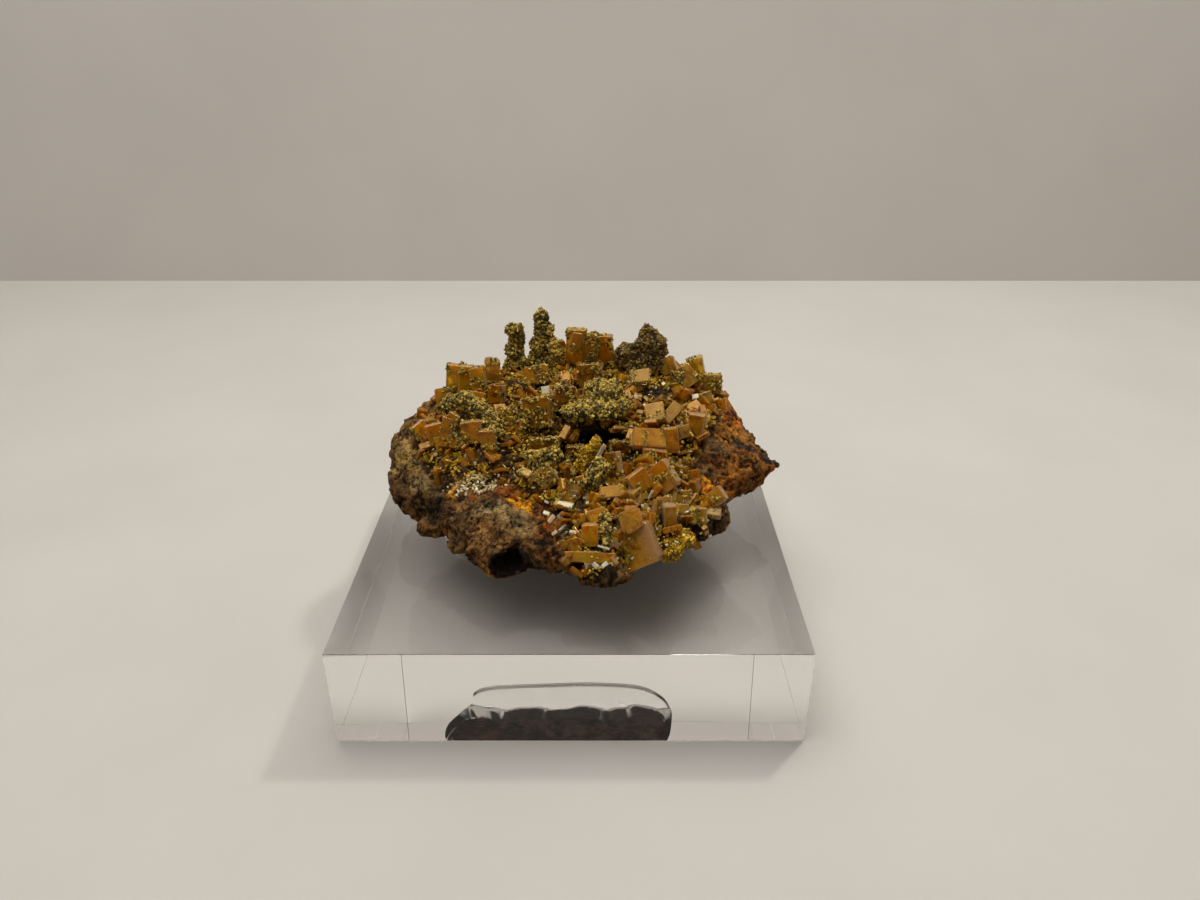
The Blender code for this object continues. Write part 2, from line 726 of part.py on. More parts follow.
def build_pad():
    """The clear gel: a flattened drop, squeezed between the block and the plate."""
    bm = bmesh.new()
    rings = []
    for share, z in ((0.94, 0.0), (1.0, 0.5), (0.97, 1.0)):
        ring = []
        for k in range(PAD_SIDES):
            angle = k * math.tau / PAD_SIDES
            wave = share * (1 + 0.04 * math.sin(3 * angle + 0.6) + 0.03 * math.sin(5 * angle))
            x = PAD_CENTRE[0] + PAD_RADII[0] * wave * math.cos(angle)
            y = PAD_CENTRE[1] + PAD_RADII[1] * wave * math.sin(angle)
            ring.append(bm.verts.new(scaled((x, y, BLOCK_THICK + GAP + PAD_THICK * z))))
        rings.append(ring)
    bm.faces.new(reversed(rings[0]))
    bm.faces.new(rings[-1])
    for lower, upper in zip(rings, rings[1:]):
        for k in range(PAD_SIDES):
            after = (k + 1) % PAD_SIDES
            bm.faces.new((lower[k], lower[after], upper[after], upper[k]))
    return new_object("clear_gel_pad", bm)


def build_block():
    bm = bmesh.new()
    bmesh.ops.create_cube(bm, size=1.0)
    bmesh.ops.scale(bm, vec=scaled((BLOCK_SIDE, BLOCK_SIDE, BLOCK_THICK)), verts=bm.verts)
    bmesh.ops.translate(bm, vec=scaled((0, 0, BLOCK_THICK / 2)), verts=bm.verts)
    bmesh.ops.bevel(bm, geom=bm.edges[:], offset=BLOCK_EDGE * MM, segments=1, affect="EDGES")
    return new_object("acrylic_block", bm)


def main():
    for obj in list(bpy.data.objects):
        bpy.data.objects.remove(obj)
    noise.seed_set(SEED)
    build_block()
    build_pad()
    plate = build_matrix()
    tree = BVHTree.FromObject(plate, bpy.context.evaluated_depsgraph_get())
    build_groups(plate, tree)
    for obj in bpy.data.objects:
        add_material(obj)


main()
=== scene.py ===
"""Wulfenite on matrix, dressed for its picture.

The rusty plate, with its druse of wulfenite tablets and its granular mimetite, sits in clear gel on a clear
block, on a pale floor before a pale wall. Places and sizes are in millimetres, in the frame of the solids.
"""

import math
import random

import bmesh
import bpy
import numpy as np
from mathutils import Matrix, Vector, noise
from mathutils.bvhtree import BVHTree


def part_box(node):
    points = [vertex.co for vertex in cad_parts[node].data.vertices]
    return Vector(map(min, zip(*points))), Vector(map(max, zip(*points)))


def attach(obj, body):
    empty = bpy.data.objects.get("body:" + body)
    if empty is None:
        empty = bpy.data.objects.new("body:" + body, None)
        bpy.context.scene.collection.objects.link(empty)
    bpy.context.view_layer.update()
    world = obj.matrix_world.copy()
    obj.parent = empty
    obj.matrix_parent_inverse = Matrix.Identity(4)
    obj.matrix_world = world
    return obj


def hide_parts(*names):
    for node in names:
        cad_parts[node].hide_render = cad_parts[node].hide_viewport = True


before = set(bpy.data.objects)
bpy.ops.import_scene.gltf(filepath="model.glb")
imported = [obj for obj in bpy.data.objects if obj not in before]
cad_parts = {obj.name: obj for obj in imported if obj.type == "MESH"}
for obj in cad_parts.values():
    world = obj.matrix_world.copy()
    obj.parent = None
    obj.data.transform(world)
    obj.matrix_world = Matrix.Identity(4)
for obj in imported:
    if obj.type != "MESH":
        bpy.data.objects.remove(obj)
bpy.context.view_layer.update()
MM = 0.001
SEED = 11
# Without a seed the noise vectors are drawn anew in each run.
noise.seed_set(SEED)
PLATE_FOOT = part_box("matrix")[0].z / MM
BLOCK_LOW, BLOCK_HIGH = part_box("acrylic_block")


# Colour and number helpers


def rgb(red, green, blue):
    """A screen colour of 0 to 255 as linear values."""
    made = []
    for part in (red, green, blue):
        part /= 255
        made.append(part / 12.92 if part <= 0.04045 else ((part + 0.055) / 1.055) ** 2.4)
    return (*made, 1.0)


def smooth(low, high, value):
    """0 at low, 1 at high, and an even curve between. High may lie below low."""
    t = min(1.0, max(0.0, (value - low) / (high - low)))
    return t * t * (3 - 2 * t)


# Node helpers


def join(tree, value, socket):
    """Puts a number, a colour or another node's output on a socket."""
    if isinstance(value, bpy.types.NodeSocket):
        tree.links.new(value, socket)
    else:
        socket.default_value = value


def add(tree, kind, given=None, **settings):
    """A new node with its settings, and with values or other nodes' outputs on its named sockets."""
    node = tree.nodes.new(kind)
    for key, value in settings.items():
        setattr(node, key, value)
    for label, value in (given or {}).items():
        join(tree, value, node.inputs[label])
    return node


def calc(tree, operation, first, second):
    node = add(tree, "ShaderNodeMath", operation=operation)
    join(tree, first, node.inputs[0])
    join(tree, second, node.inputs[1])
    return node.outputs[0]


def grain(tree, coords, size, detail, roughness, distortion=0.0):
    """Noise whose lumps are about that many millimetres across."""
    given = {"Vector": coords, "Scale": 1 / (size * MM), "Detail": detail, "Roughness": roughness}
    return add(tree, "ShaderNodeTexNoise", {**given, "Distortion": distortion}).outputs["Fac"]


def cells(tree, coords, size):
    """How far a place is from the middle of its cell. Cells are about that many millimetres across."""
    return add(tree, "ShaderNodeTexVoronoi", {"Vector": coords, "Scale": 1 / (size * MM)}).outputs["Distance"]


def ramp(tree, value, stops):
    """Colours or greys by a value: stops are (position, colour)."""
    node = add(tree, "ShaderNodeValToRGB", {"Fac": value})
    marks = node.color_ramp.elements
    while len(marks) < len(stops):
        marks.new(0.5)
    for mark, (place, colour) in zip(marks, stops):
        mark.position = place
        mark.color = colour if isinstance(colour, tuple) else (colour, colour, colour, 1.0)
    return node.outputs[0]


def mixed(tree, share, first, second, blend="MIX"):
    given = {"Factor": share, "A": first, "B": second}
    return add(tree, "ShaderNodeMix", given, data_type="RGBA", blend_type=blend).outputs["Result"]


def attribute(tree, name, output="Fac"):
    return add(tree, "ShaderNodeAttribute", attribute_name=name).outputs[output]


def facing_up(tree):
    """How far a face looks up: 1 is level, 0 is upright."""
    normal = add(tree, "ShaderNodeNewGeometry").outputs["True Normal"]
    return add(tree, "ShaderNodeSeparateXYZ", {"Vector": normal}).outputs["Z"]


def here(tree):
    return add(tree, "ShaderNodeTexCoord").outputs["Object"]


def bump(tree, heights, surface):
    """Stacks bumps: (height, strength, depth in millimetres), the coarse one first."""
    normal = None
    for height, strength, depth in heights:
        node = add(tree, "ShaderNodeBump", {"Strength": strength, "Distance": depth * MM, "Height": height})
        if normal:
            tree.links.new(normal, node.inputs["Normal"])
        normal = node.outputs["Normal"]
    tree.links.new(normal, surface.inputs["Normal"])


def new_material(name, **settings):
    made = bpy.data.materials.new(name)
    made.use_nodes = True
    surface = made.node_tree.nodes["Principled BSDF"]
    for key, value in settings.items():
        surface.inputs[key.replace("_", " ").title().replace("Ior", "IOR")].default_value = value
    return made, made.node_tree, surface


# Materials


def rock_material():
    """Weathered ironstone in the colours painted on its mesh, with rust and black patches, dark spots that
    are the painted shade of pores, painted shade in the hollows of its relief, and dust on its crests that is
    partly a painted highlight.
    """
    made, tree, surface = new_material("weathered_ironstone", specular_ior_level=0.1)
    coords = here(tree)
    stain_and_shade = attribute(tree, "stain_and_shade", "Color")
    crest = attribute(tree, "crest")
    blotch = grain(tree, coords, 2.4, 9.0, 0.72, 0.7)
    fine = grain(tree, coords, 0.7, 6.0, 0.75, 0.4)
    rusty = grain(tree, coords, 3.6, 6.0, 0.6, 1.2)
    speck = grain(tree, coords, 0.16, 3.0, 0.7)
    painted_pore_shade = cells(tree, coords, 0.42)
    shade = ramp(tree, blotch, ((0.43, 0.25), (0.48, 0.8), (0.52, 1.35), (0.58, 2.2)))
    colour = mixed(tree, 1.0, stain_and_shade, shade, "MULTIPLY")
    bright = mixed(tree, 1.0, stain_and_shade, (2.4, 2.2, 2.0, 1.0), "MULTIPLY")
    dust = mixed(tree, 0.45, bright, rgb(160, 130, 74))
    for pattern, stops, tint in (
        (fine, ((0.50, 0.0), (0.58, 0.5)), dust),
        (rusty, ((0.54, 0.0), (0.62, 0.4)), rgb(134, 80, 24)),
        (rusty, ((0.38, 0.75), (0.46, 0.0)), rgb(38, 33, 30)),
        # Lighter dust on the crests: partly real dust, partly a painted highlight.
        (crest, ((0.56, 0.0), (0.85, 0.35)), dust),
        (fine, ((0.40, 0.85), (0.47, 0.0)), rgb(26, 17, 11)),
        (speck, ((0.36, 0.6), (0.45, 0.0)), rgb(30, 20, 12)),
        # Dark spots as the painted shade of tiny pores, which have no depth of their own.
        (painted_pore_shade, ((0.12, 0.9), (0.26, 0.0)), rgb(20, 12, 8)),
        # Painted shade in the hollows of the relief, where the crest height is low.
        (crest, ((0.14, 0.8), (0.32, 0.0)), rgb(20, 13, 8)),
    ):
        colour = mixed(tree, ramp(tree, pattern, stops), colour, tint)
    tree.links.new(colour, surface.inputs["Base Color"])
    tree.links.new(ramp(tree, fine, ((0.3, 0.92), (0.7, 0.7))), surface.inputs["Roughness"])
    bump(tree, ((blotch, 0.7, 0.5), (fine, 1.0, 0.3), (speck, 0.8, 0.1)), surface)
    return made


# Growth lines run along a tablet: how fast their noise changes along it and across it.
LINE_STRETCH = (0.15 * MM, 1.6 * MM, 1.6 * MM)


def wulfenite_material(name, deep, body, pale, rim, clear, painted_top_sheen):
    """Glassy tablets: deep colour inside; paler on faces that look up, a painted sheen of the light from
    above; and pale rims, partly frosted and partly a painted edge highlight, with growth lines.
    """
    made, tree, surface = new_material(
        name,
        ior=1.6,
        specular_tint=(1.0, 0.66, 0.26, 1.0),
        transmission_weight=clear,
        subsurface_weight=0.5,
        subsurface_radius=(1.0, 0.5, 0.05),
        subsurface_scale=0.0009,
    )
    coords = here(tree)
    cloud = grain(tree, coords, 1.0, 3.0, 0.6, 0.8)
    dust = grain(tree, coords, 0.2, 4.0, 0.7)
    local = {"Vector": attribute(tree, "local", "Vector"), "Scale": LINE_STRETCH}
    lines = grain(tree, add(tree, "ShaderNodeMapping", local).outputs["Vector"], 0.3, 2.0, 0.5)
    tone = calc(tree, "MULTIPLY", attribute(tree, "tone"), 0.5)
    value = calc(tree, "ADD", calc(tree, "MULTIPLY", cloud, 1.5), tone)
    value = calc(tree, "SUBTRACT", value, 0.36)
    value = calc(tree, "ADD", value, calc(tree, "MULTIPLY", lines, 0.16))
    colour = ramp(tree, value, ((0.40, deep), (0.66, body), (0.96, pale)))
    # Faces that look up are paler: a painted sheen of the light from above, mixed in with the rim colour.
    painted_sheen_on_top = ramp(tree, facing_up(tree), ((0.35, 0.0), (0.90, painted_top_sheen)))
    # Pale rims: partly frosted side faces, partly a painted highlight on the bevelled edges.
    rimmed = ramp(tree, attribute(tree, "rim"), ((0.2, 0.0), (0.6, 0.15), (1.0, 0.9)))
    frost_and_sheen = calc(tree, "MAXIMUM", painted_sheen_on_top, rimmed)
    frost_and_sheen = calc(tree, "MULTIPLY", frost_and_sheen, calc(tree, "ADD", 0.45, dust))
    colour = mixed(tree, frost_and_sheen, colour, rim)
    colour = mixed(tree, ramp(tree, dust, ((0.62, 0.0), (0.74, 0.35))), colour, rgb(112, 86, 18))
    tree.links.new(colour, surface.inputs["Base Color"])
    polish = ramp(tree, dust, ((0.35, 0.07), (0.55, 0.14), (0.75, 0.4)))
    tree.links.new(polish, surface.inputs["Roughness"])
    bump(tree, ((cloud, 0.25, 0.05), (lines, 0.4, 0.05), (dust, 0.3, 0.03)), surface)
    return made


def mimetite_material(name, dark, olive, yellow):
    """Waxy rounded grains, each with a tone of its own."""
    made, tree, surface = new_material(name, specular_ior_level=0.35)
    coords = here(tree)
    patch = grain(tree, coords, 1.3, 3.0, 0.6)
    dust = grain(tree, coords, 0.14, 3.0, 0.6)
    tone = calc(tree, "MULTIPLY", attribute(tree, "tone"), 0.62)
    value = calc(tree, "ADD", tone, calc(tree, "MULTIPLY", patch, 0.55))
    colour = ramp(tree, value, ((0.26, dark), (0.50, olive), (0.74, yellow)))
    colour = mixed(tree, ramp(tree, dust, ((0.58, 0.0), (0.78, 0.3))), colour, rgb(186, 168, 96))
    tree.links.new(colour, surface.inputs["Base Color"])
    tree.links.new(ramp(tree, dust, ((0.3, 0.45), (0.7, 0.7))), surface.inputs["Roughness"])
    bump(tree, ((dust, 0.5, 0.05),), surface)
    return made


def clear_material(name, colour, ior, roughness, haze):
    """Clear plastic or gel. The haze is a faint unevenness of its polish."""
    made, tree, surface = new_material(name, base_color=colour, ior=ior, transmission_weight=1.0)
    smear = grain(tree, here(tree), 7.0, 3.0, 0.5, 0.3)
    tree.links.new(ramp(tree, smear, ((0.40, roughness), (0.75, haze))), surface.inputs["Roughness"])
    return made


def card_material(name, colour, roughness, size):
    """The floor and the wall: pale card with a faint mottling."""
    made, tree, surface = new_material(name, roughness=roughness, specular_ior_level=0.2)
    mottle = grain(tree, here(tree), size, 3.0, 0.5)
    low = tuple(c * 0.96 for c in colour[:3]) + (1.0,)
    tree.links.new(ramp(tree, mottle, ((0.35, low), (0.65, colour))), surface.inputs["Base Color"])
    return made


ROCK = rock_material()
ORANGE = wulfenite_material(
    "orange_wulfenite", rgb(140, 74, 0), rgb(232, 148, 0), rgb(250, 186, 14), rgb(238, 194, 142), 0.65, 0.2
)
AMBER = wulfenite_material(
    "amber_wulfenite", rgb(104, 54, 0), rgb(202, 128, 0), rgb(232, 164, 6), rgb(212, 168, 108), 0.65, 0.2
)
TAN = wulfenite_material(
    "pinkish_wulfenite", rgb(124, 80, 2), rgb(204, 144, 10), rgb(230, 180, 46), rgb(236, 202, 162), 0.65, 0.45
)
YELLOW = wulfenite_material(
    "yellow_wulfenite", rgb(92, 66, 2), rgb(188, 144, 6), rgb(236, 196, 34), rgb(222, 194, 130), 0.65, 0.2
)
WHITE = wulfenite_material(
    "pale_wulfenite", rgb(150, 132, 92), rgb(204, 188, 148), rgb(238, 226, 196), rgb(248, 240, 220), 0.3, 0.7
)
# A darker copy of the olive grains, as painted shade on the back lump.
SHADED_OLIVE_GRAINS = mimetite_material("shaded_olive_mimetite", rgb(26, 18, 6), rgb(84, 62, 20), rgb(156, 122, 46))
OLIVE = mimetite_material("olive_mimetite", rgb(36, 28, 8), rgb(114, 94, 30), rgb(202, 170, 68))
MUSTARD = mimetite_material("mustard_mimetite", rgb(92, 64, 4), rgb(168, 126, 12), rgb(222, 180, 34))
CRUST = mimetite_material("pale_crust", rgb(104, 84, 40), rgb(188, 164, 96), rgb(234, 222, 186))
ACRYLIC = clear_material("clear_acrylic", (0.985, 0.98, 0.975, 1), 1.49, 0.0, 0.02)
GEL = clear_material("clear_gel", (0.72, 0.712, 0.70, 1), 1.45, 0.2, 0.3)
CONTACT, _, _ = new_material(
    "gel_wetting_the_block", base_color=(1, 1, 1, 1), ior=1.0, roughness=0.0, transmission_weight=1.0
)


# Meshes


def put(name, mesh, *materials):
    """A mesh as an object at the origin."""
    made = bpy.data.objects.new(name, mesh)
    bpy.context.scene.collection.objects.link(made)
    for material in materials:
        if material.name not in mesh.materials:
            mesh.materials.append(material)
    return made


def ended(bm, name):
    """What was built, as a mesh."""
    mesh = bpy.data.meshes.new(name)
    bm.to_mesh(mesh)
    bm.free()
    return mesh


def evaluated_mesh(obj):
    """What the object's modifiers make of it, as a plain mesh."""
    bpy.context.view_layer.update()
    graph = bpy.context.evaluated_depsgraph_get()
    return bpy.data.meshes.new_from_object(obj.evaluated_get(graph))


def write_values(mesh, name, values):
    """Gives each point of a mesh its own number."""
    mesh.attributes.new(name, "FLOAT", "POINT").data.foreach_set("value", values)


def ball_mesh(balls, detail=3):
    """Ellipsoids as one mesh: each x, y, z and three radii."""
    bm = bmesh.new()
    for x, y, z, *radii in balls:
        ball = bmesh.ops.create_icosphere(bm, subdivisions=detail, radius=1.0)["verts"]
        bmesh.ops.scale(bm, vec=Vector(radii) * MM, verts=ball)
        bmesh.ops.translate(bm, vec=Vector((x, y, z)) * MM, verts=ball)
    return ended(bm, "balls")


def in_cells(mesh, cell):
    """The mesh as one skin of even small cells, with its facets smoothed away."""
    work = put("work", mesh)
    step = work.modifiers.new("cells", "REMESH")
    step.mode = "VOXEL"
    step.voxel_size = cell * MM
    soft = work.modifiers.new("soft", "SMOOTH")
    soft.factor = 0.5
    soft.iterations = 3
    made = evaluated_mesh(work)
    bpy.data.objects.remove(work)
    return made


def finish_piece(piece, slot, *nodes):
    """Hangs a piece under the root and hides the solids it stands for, if any; its slot, which names what it
    is made of, is not used. Nothing moves.
    """
    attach(piece, "root")
    if nodes:
        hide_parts(*nodes)


# The plate of rock

# The druse covers the plate inside this outline in plan. Outside it the rock is bare.
DRUSE_OUTLINE = (
    (0.2, -18.0),
    (5.2, -18.0),
    (7.6, -16.6),
    (9.6, -15.4),
    (13.4, -12.6),
    (18.0, -10.2),
    (17.0, -8.0),
    (14.4, -6.4),
    (14.6, -2.6),
    (15.8, 2.6),
    (18.8, 7.0),
    (20.6, 12.4),
    (17.6, 16.4),
    (8.0, 19.0),
    (-3.0, 19.2),
    (-12.6, 16.2),
    (-17.6, 11.6),
    (-19.8, 5.4),
    (-20.4, 0.6),
    (-16.8, -3.6),
    (-11.4, -5.8),
    (-6.0, -6.6),
    (-3.4, -8.6),
    (-1.8, -11.0),
    (-1.0, -14.4),
)


def inside_druse(x, y):
    """Distance in millimetres from the druse's outline, positive inside."""
    nearest, inside = 1e9, False
    for (ax, ay), (bx, by) in zip(DRUSE_OUTLINE, DRUSE_OUTLINE[1:] + DRUSE_OUTLINE[:1]):
        dx, dy = bx - ax, by - ay
        t = min(1.0, max(0.0, ((x - ax) * dx + (y - ay) * dy) / (dx * dx + dy * dy)))
        nearest = min(nearest, math.hypot(x - ax - t * dx, y - ay - t * dy))
        if (ay > y) != (by > y) and x < ax + (y - ay) / (by - ay) * (bx - ax):
            inside = not inside
    return nearest if inside else -nearest


# The dark hollow under the centre cap: middle and radii in plan.
HOLLOW = ((2.8, -2.2), (5.2, 3.2))


def hollow_share(x, y):
    """1 in the dark hollow and 0 away from it."""
    (cx, cy), (rx, ry) = HOLLOW
    return smooth(1.15, 0.75, math.hypot((x - cx) / rx, (y - cy) / ry))


# Lumps that the rock has beside the plate's solid: x, y, z and three radii.
ROCK_LUMPS = (
    (3.6, -16.7, 15.9, 3.0, 1.5, 1.3),
    (-7.6, -14.0, 15.9, 3.0, 1.8, 1.8),
    (-12.6, -10.0, 15.6, 2.2, 1.6, 1.2),
    (-16.4, -7.0, 15.9, 2.0, 1.6, 1.2),
)
# What is cut from it, by the same six numbers: the vug in the knob and the hollow under the centre cap.
CAVITIES = (
    (-6.9, -15.6, 16.2, 2.0, 3.2, 1.5),
    (3.0, -1.3, 23.0, 5.2, 2.8, 2.4),
)


def in_cavity(x, y, z):
    """1 on the walls of a cavity and 0 away from it: where the rock gets the near-black painted shade of its
    cavities.
    """
    nearest = 2.0
    for cx, cy, cz, rx, ry, rz in CAVITIES:
        nearest = min(nearest, math.hypot((x - cx) / rx, (y - cy) / ry, (z - cz) / rz))
    return smooth(1.2, 1.02, nearest)


# Colours of the rock: its brown; the dark painted shade between the druse's crystals and the near-black
# painted shade on the walls of its cavities, with how much of them the druse and the cavities take; and the
# heights between which its foot turns grey. Its stains are x, y, z, radius and colour; a chain of small dark
# ones along the crevice above the brow is painted shadow.
BROWN = rgb(104, 75, 42)
CAVITY_SHADE = rgb(16, 9, 5)
DRUSE_GAP_SHADE = rgb(36, 23, 5)
FOOT_GREY = rgb(112, 92, 84)
GAP_SHADE_SHARE = 0.85
CAVITY_SHADE_SHARE = 0.95
GREY_BAND = (14.6, 14.1)
STAINS_AND_CREVICE_SHADE = (
    (-20.0, 2.0, 21.0, 4.6, rgb(150, 120, 66)),
    (-22.0, 4.0, 20.0, 3.0, rgb(104, 80, 46)),
    (-21.0, -3.0, 17.6, 3.4, rgb(88, 62, 36)),
    (-16.0, -6.4, 17.4, 2.6, rgb(84, 62, 40)),
    (-18.0, -3.4, 19.6, 1.8, rgb(120, 98, 64)),
    (-13.6, -5.6, 19.4, 1.6, rgb(52, 38, 26)),
    (-12.6, -9.6, 16.4, 2.0, rgb(112, 90, 56)),
    (-14.8, -8.4, 16.2, 1.4, rgb(132, 84, 36)),
    (-17.4, 12.0, 24.0, 4.5, rgb(128, 112, 84)),
    (-19.0, 8.0, 23.6, 2.2, rgb(136, 104, 52)),
    (-7.4, -7.8, 20.4, 2.8, rgb(118, 60, 4)),
    (-4.0, -9.6, 20.0, 2.2, rgb(128, 70, 4)),
    (-10.4, -7.6, 19.8, 1.4, rgb(92, 44, 10)),
    # Painted shadow: this small dark spot and those at -9.6, -7.4, -4.9 and -3.4 make a chain along the
    # crevice above the brow.
    (-11.8, -9.3, 19.4, 0.8, rgb(32, 20, 12)),
    (-12.6, -9.4, 17.8, 1.1, rgb(30, 22, 16)),
    (-15.0, -7.0, 18.0, 1.0, rgb(32, 24, 18)),
    # The chain of dark spots along the crevice above the brow, as painted shadow, goes on here.
    (-9.6, -9.1, 19.8, 0.8, rgb(30, 18, 10)),
    (-7.4, -9.6, 19.8, 0.7, rgb(36, 20, 10)),
    (-4.9, -10.9, 19.6, 0.8, rgb(30, 18, 10)),
    (-3.4, -13.2, 18.4, 0.9, rgb(32, 20, 12)),
    (-5.4, -9.4, 20.2, 1.3, rgb(230, 158, 4)),
    (-7.0, -8.6, 20.4, 0.8, rgb(216, 140, 8)),
    (-2.8, -12.2, 18.8, 1.5, rgb(162, 84, 6)),
    (-14.2, -6.0, 20.4, 0.9, rgb(222, 148, 14)),
    (-9.2, -10.6, 19.8, 2.2, rgb(134, 112, 72)),
    (-6.6, -11.6, 19.6, 2.2, rgb(134, 112, 72)),
    (-9.4, -10.4, 20.2, 0.9, rgb(62, 54, 42)),
    (-10.6, -13.0, 17.6, 2.1, rgb(156, 110, 60)),
    (-9.8, -15.0, 15.8, 1.9, rgb(140, 94, 50)),
    (-6.6, -14.6, 18.2, 1.2, rgb(118, 80, 42)),
    (-2.4, -14.6, 17.0, 2.2, rgb(92, 54, 24)),
    (0.6, -16.4, 16.0, 1.6, rgb(84, 56, 28)),
    (22.0, 1.0, 20.0, 4.4, rgb(134, 80, 22)),
    (20.0, 4.6, 22.0, 3.0, rgb(150, 96, 34)),
    (18.4, 3.0, 22.4, 1.4, rgb(170, 100, 14)),
    (21.1, 3.3, 21.0, 1.6, rgb(40, 34, 34)),
    (24.6, 2.6, 20.6, 1.7, rgb(40, 34, 32)),
    (16.9, -0.8, 21.2, 1.8, rgb(76, 38, 12)),
    (22.6, -0.6, 19.6, 1.8, rgb(112, 74, 34)),
    (19.0, -3.4, 19.8, 2.4, rgb(136, 76, 8)),
    (16.4, -4.6, 20.8, 1.8, rgb(224, 140, 6)),
    (15.4, -6.4, 20.6, 1.4, rgb(214, 126, 8)),
    (18.4, -5.2, 20.4, 1.2, rgb(190, 110, 10)),
    (15.6, -11.0, 17.6, 2.4, rgb(44, 30, 20)),
    (14.4, -12.0, 18.6, 1.2, rgb(70, 58, 40)),
    (17.4, -9.6, 17.6, 1.1, rgb(112, 62, 26)),
    (20.4, 8.6, 22.6, 2.2, rgb(146, 78, 20)),
    (19.0, 9.6, 23.6, 1.4, rgb(64, 50, 28)),
)


def ragged(point):
    """A place pushed about by noise, which gives the stains ragged edges."""
    moved = point
    for rate, reach in ((0.55, 1.3), (1.7, 0.5), (5.0, 0.3)):
        moved = moved + noise.noise_vector(point * rate) * reach
    return moved


def stain_and_shade_at(x, y, z, druse):
    """The rock's colour at a place: brown with the stains near it, the dark painted shade between the
    crystals of its druse, the near-black painted shade in its cavities, and its grey foot.
    """
    place = ragged(Vector((x, y, z)))
    colour = Vector(BROWN[:3])
    for sx, sy, sz, radius, tint in STAINS_AND_CREVICE_SHADE:
        near = (place - Vector((sx, sy, sz))).length
        colour = colour.lerp(Vector(tint[:3]), smooth(radius * 1.15, radius * 0.55, near))
    # Dark painted shade in the gaps between the druse's crystals.
    colour = colour.lerp(Vector(DRUSE_GAP_SHADE[:3]), druse * GAP_SHADE_SHARE)
    # Near-black painted shade on the walls of the cavities.
    colour = colour.lerp(Vector(CAVITY_SHADE[:3]), CAVITY_SHADE_SHARE * in_cavity(x, y, z))
    return colour.lerp(Vector(FOOT_GREY[:3]), smooth(*GREY_BAND, z))


def wetted(x, y):
    """1 where the rock sits in the gel, and 0 behind a wavy line, where air lies over a thin skirt of gel."""
    line = 7.0 + 0.5 * math.sin(x * 0.9 + 0.8)
    line += 0.9 * noise.fractal(Vector((x * 0.4, 0, 3)), 1.1, 2.1, 2)
    return smooth(line + 0.3, line - 0.3, y)


ROCK_CELL = 0.25
CAVITY_WARP = 0.6


def rock_mesh():
    """The plate and its lumps as one fine skin, with the cavities cut from it."""
    bm = bmesh.new()
    bm.from_mesh(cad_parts["matrix"].data)
    bmesh.ops.remove_doubles(bm, verts=bm.verts, dist=1e-6)
    bm.from_mesh(ball_mesh(ROCK_LUMPS))
    work = put("work", in_cells(ended(bm, "plate"), ROCK_CELL))
    cutters = []
    for cavity in CAVITIES:
        hole = ball_mesh((cavity,), 4)
        for v in hole.vertices:
            v.co += noise.noise_vector(v.co / MM * 0.7) * CAVITY_WARP * MM
        cutters.append(put("cutter", hole))
        cut = work.modifiers.new("cut", "BOOLEAN")
        cut.operation = "DIFFERENCE"
        cut.solver = "MANIFOLD"
        cut.object = cutters[-1]
    made = evaluated_mesh(work)
    for used in [work] + cutters:
        bpy.data.objects.remove(used)
    # The cut leaves an empty slot for a material.
    made.materials.clear()
    return made


def crests(p, size):
    """Sharp crests about that far apart: 0 in the hollows, 1 on the crests."""
    return 1 - min(1.0, 2.4 * abs(noise.noise(p / size)))


# How far the rock rises and falls by its wide lumps, its large and small crests and its fine grit.
WIDE_RISE = 0.4
LARGE_RISE = 0.2
SMALL_RISE = 0.16
FINE_RISE = 0.24
SKIN_LIFT = 0.1
DRUSE_LIFT = 0.15
# The relief fades out over this height above the foot. The foot is sunk into the gel where it is wet.
FOOT_BAND = 1.2
FOOT_LIFT = 0.06
FOOT_SINK = 0.4


def rock_piece():
    """The plate with its relief and colours, and how much druse each of its points carries."""
    mesh = rock_mesh()
    count = len(mesh.vertices)
    stain_and_shade = np.ones((count, 4), dtype=np.float32)
    crest = np.zeros(count, dtype=np.float32)
    ground = np.zeros(count, dtype=np.float32)
    normals = [v.normal.copy() for v in mesh.vertices]
    for v, normal in zip(mesh.vertices, normals):
        p = v.co / MM
        up = smooth(-0.25, 0.3, normal.z)
        druse = 0.0
        if up > 0:
            druse = smooth(-0.6, 1.2, inside_druse(p.x, p.y) + 1.4 * noise.noise(p * 0.6)) * up
        bent = p + noise.noise_vector(p * 0.7) * 0.9
        lumps = noise.fractal(p * 0.4, 0.9, 2.1, 3)
        large = crests(bent, 2.2)
        small = crests(bent, 0.95)
        fine = noise.fractal(p * 2.2, 0.7, 2.2, 3)
        foot = smooth(PLATE_FOOT, PLATE_FOOT + FOOT_BAND, p.z)
        rough = WIDE_RISE * lumps + LARGE_RISE * (large - 0.5) + SMALL_RISE * (small - 0.5)
        rough = rough + FINE_RISE * fine + SKIN_LIFT
        v.co += normal * (rough + druse * DRUSE_LIFT) * foot * MM
        if foot < 0.2:
            v.co.z += (FOOT_LIFT - FOOT_SINK * wetted(p.x, p.y)) * MM
        height = 0.4 * large + 0.45 * small + 0.35 * fine + 0.05
        # It is 0 in the cavities, so the shader paints them with the shade of the hollows as well.
        crest[v.index] = height * (1 - in_cavity(p.x, p.y, p.z))
        ground[v.index] = druse
        stain_and_shade[v.index, :3] = stain_and_shade_at(p.x, p.y, p.z, druse)
    mesh.attributes.new("stain_and_shade", "FLOAT_COLOR", "POINT").data.foreach_set("color", stain_and_shade.ravel())
    write_values(mesh, "crest", crest)
    mesh.shade_smooth()
    return put("ironstone_plate", mesh, ROCK), ground


# Studio

FLOOR_Z = -0.06
WALL_Y = 148.0
CARD_REACH = 900
WALL_TOP = 700


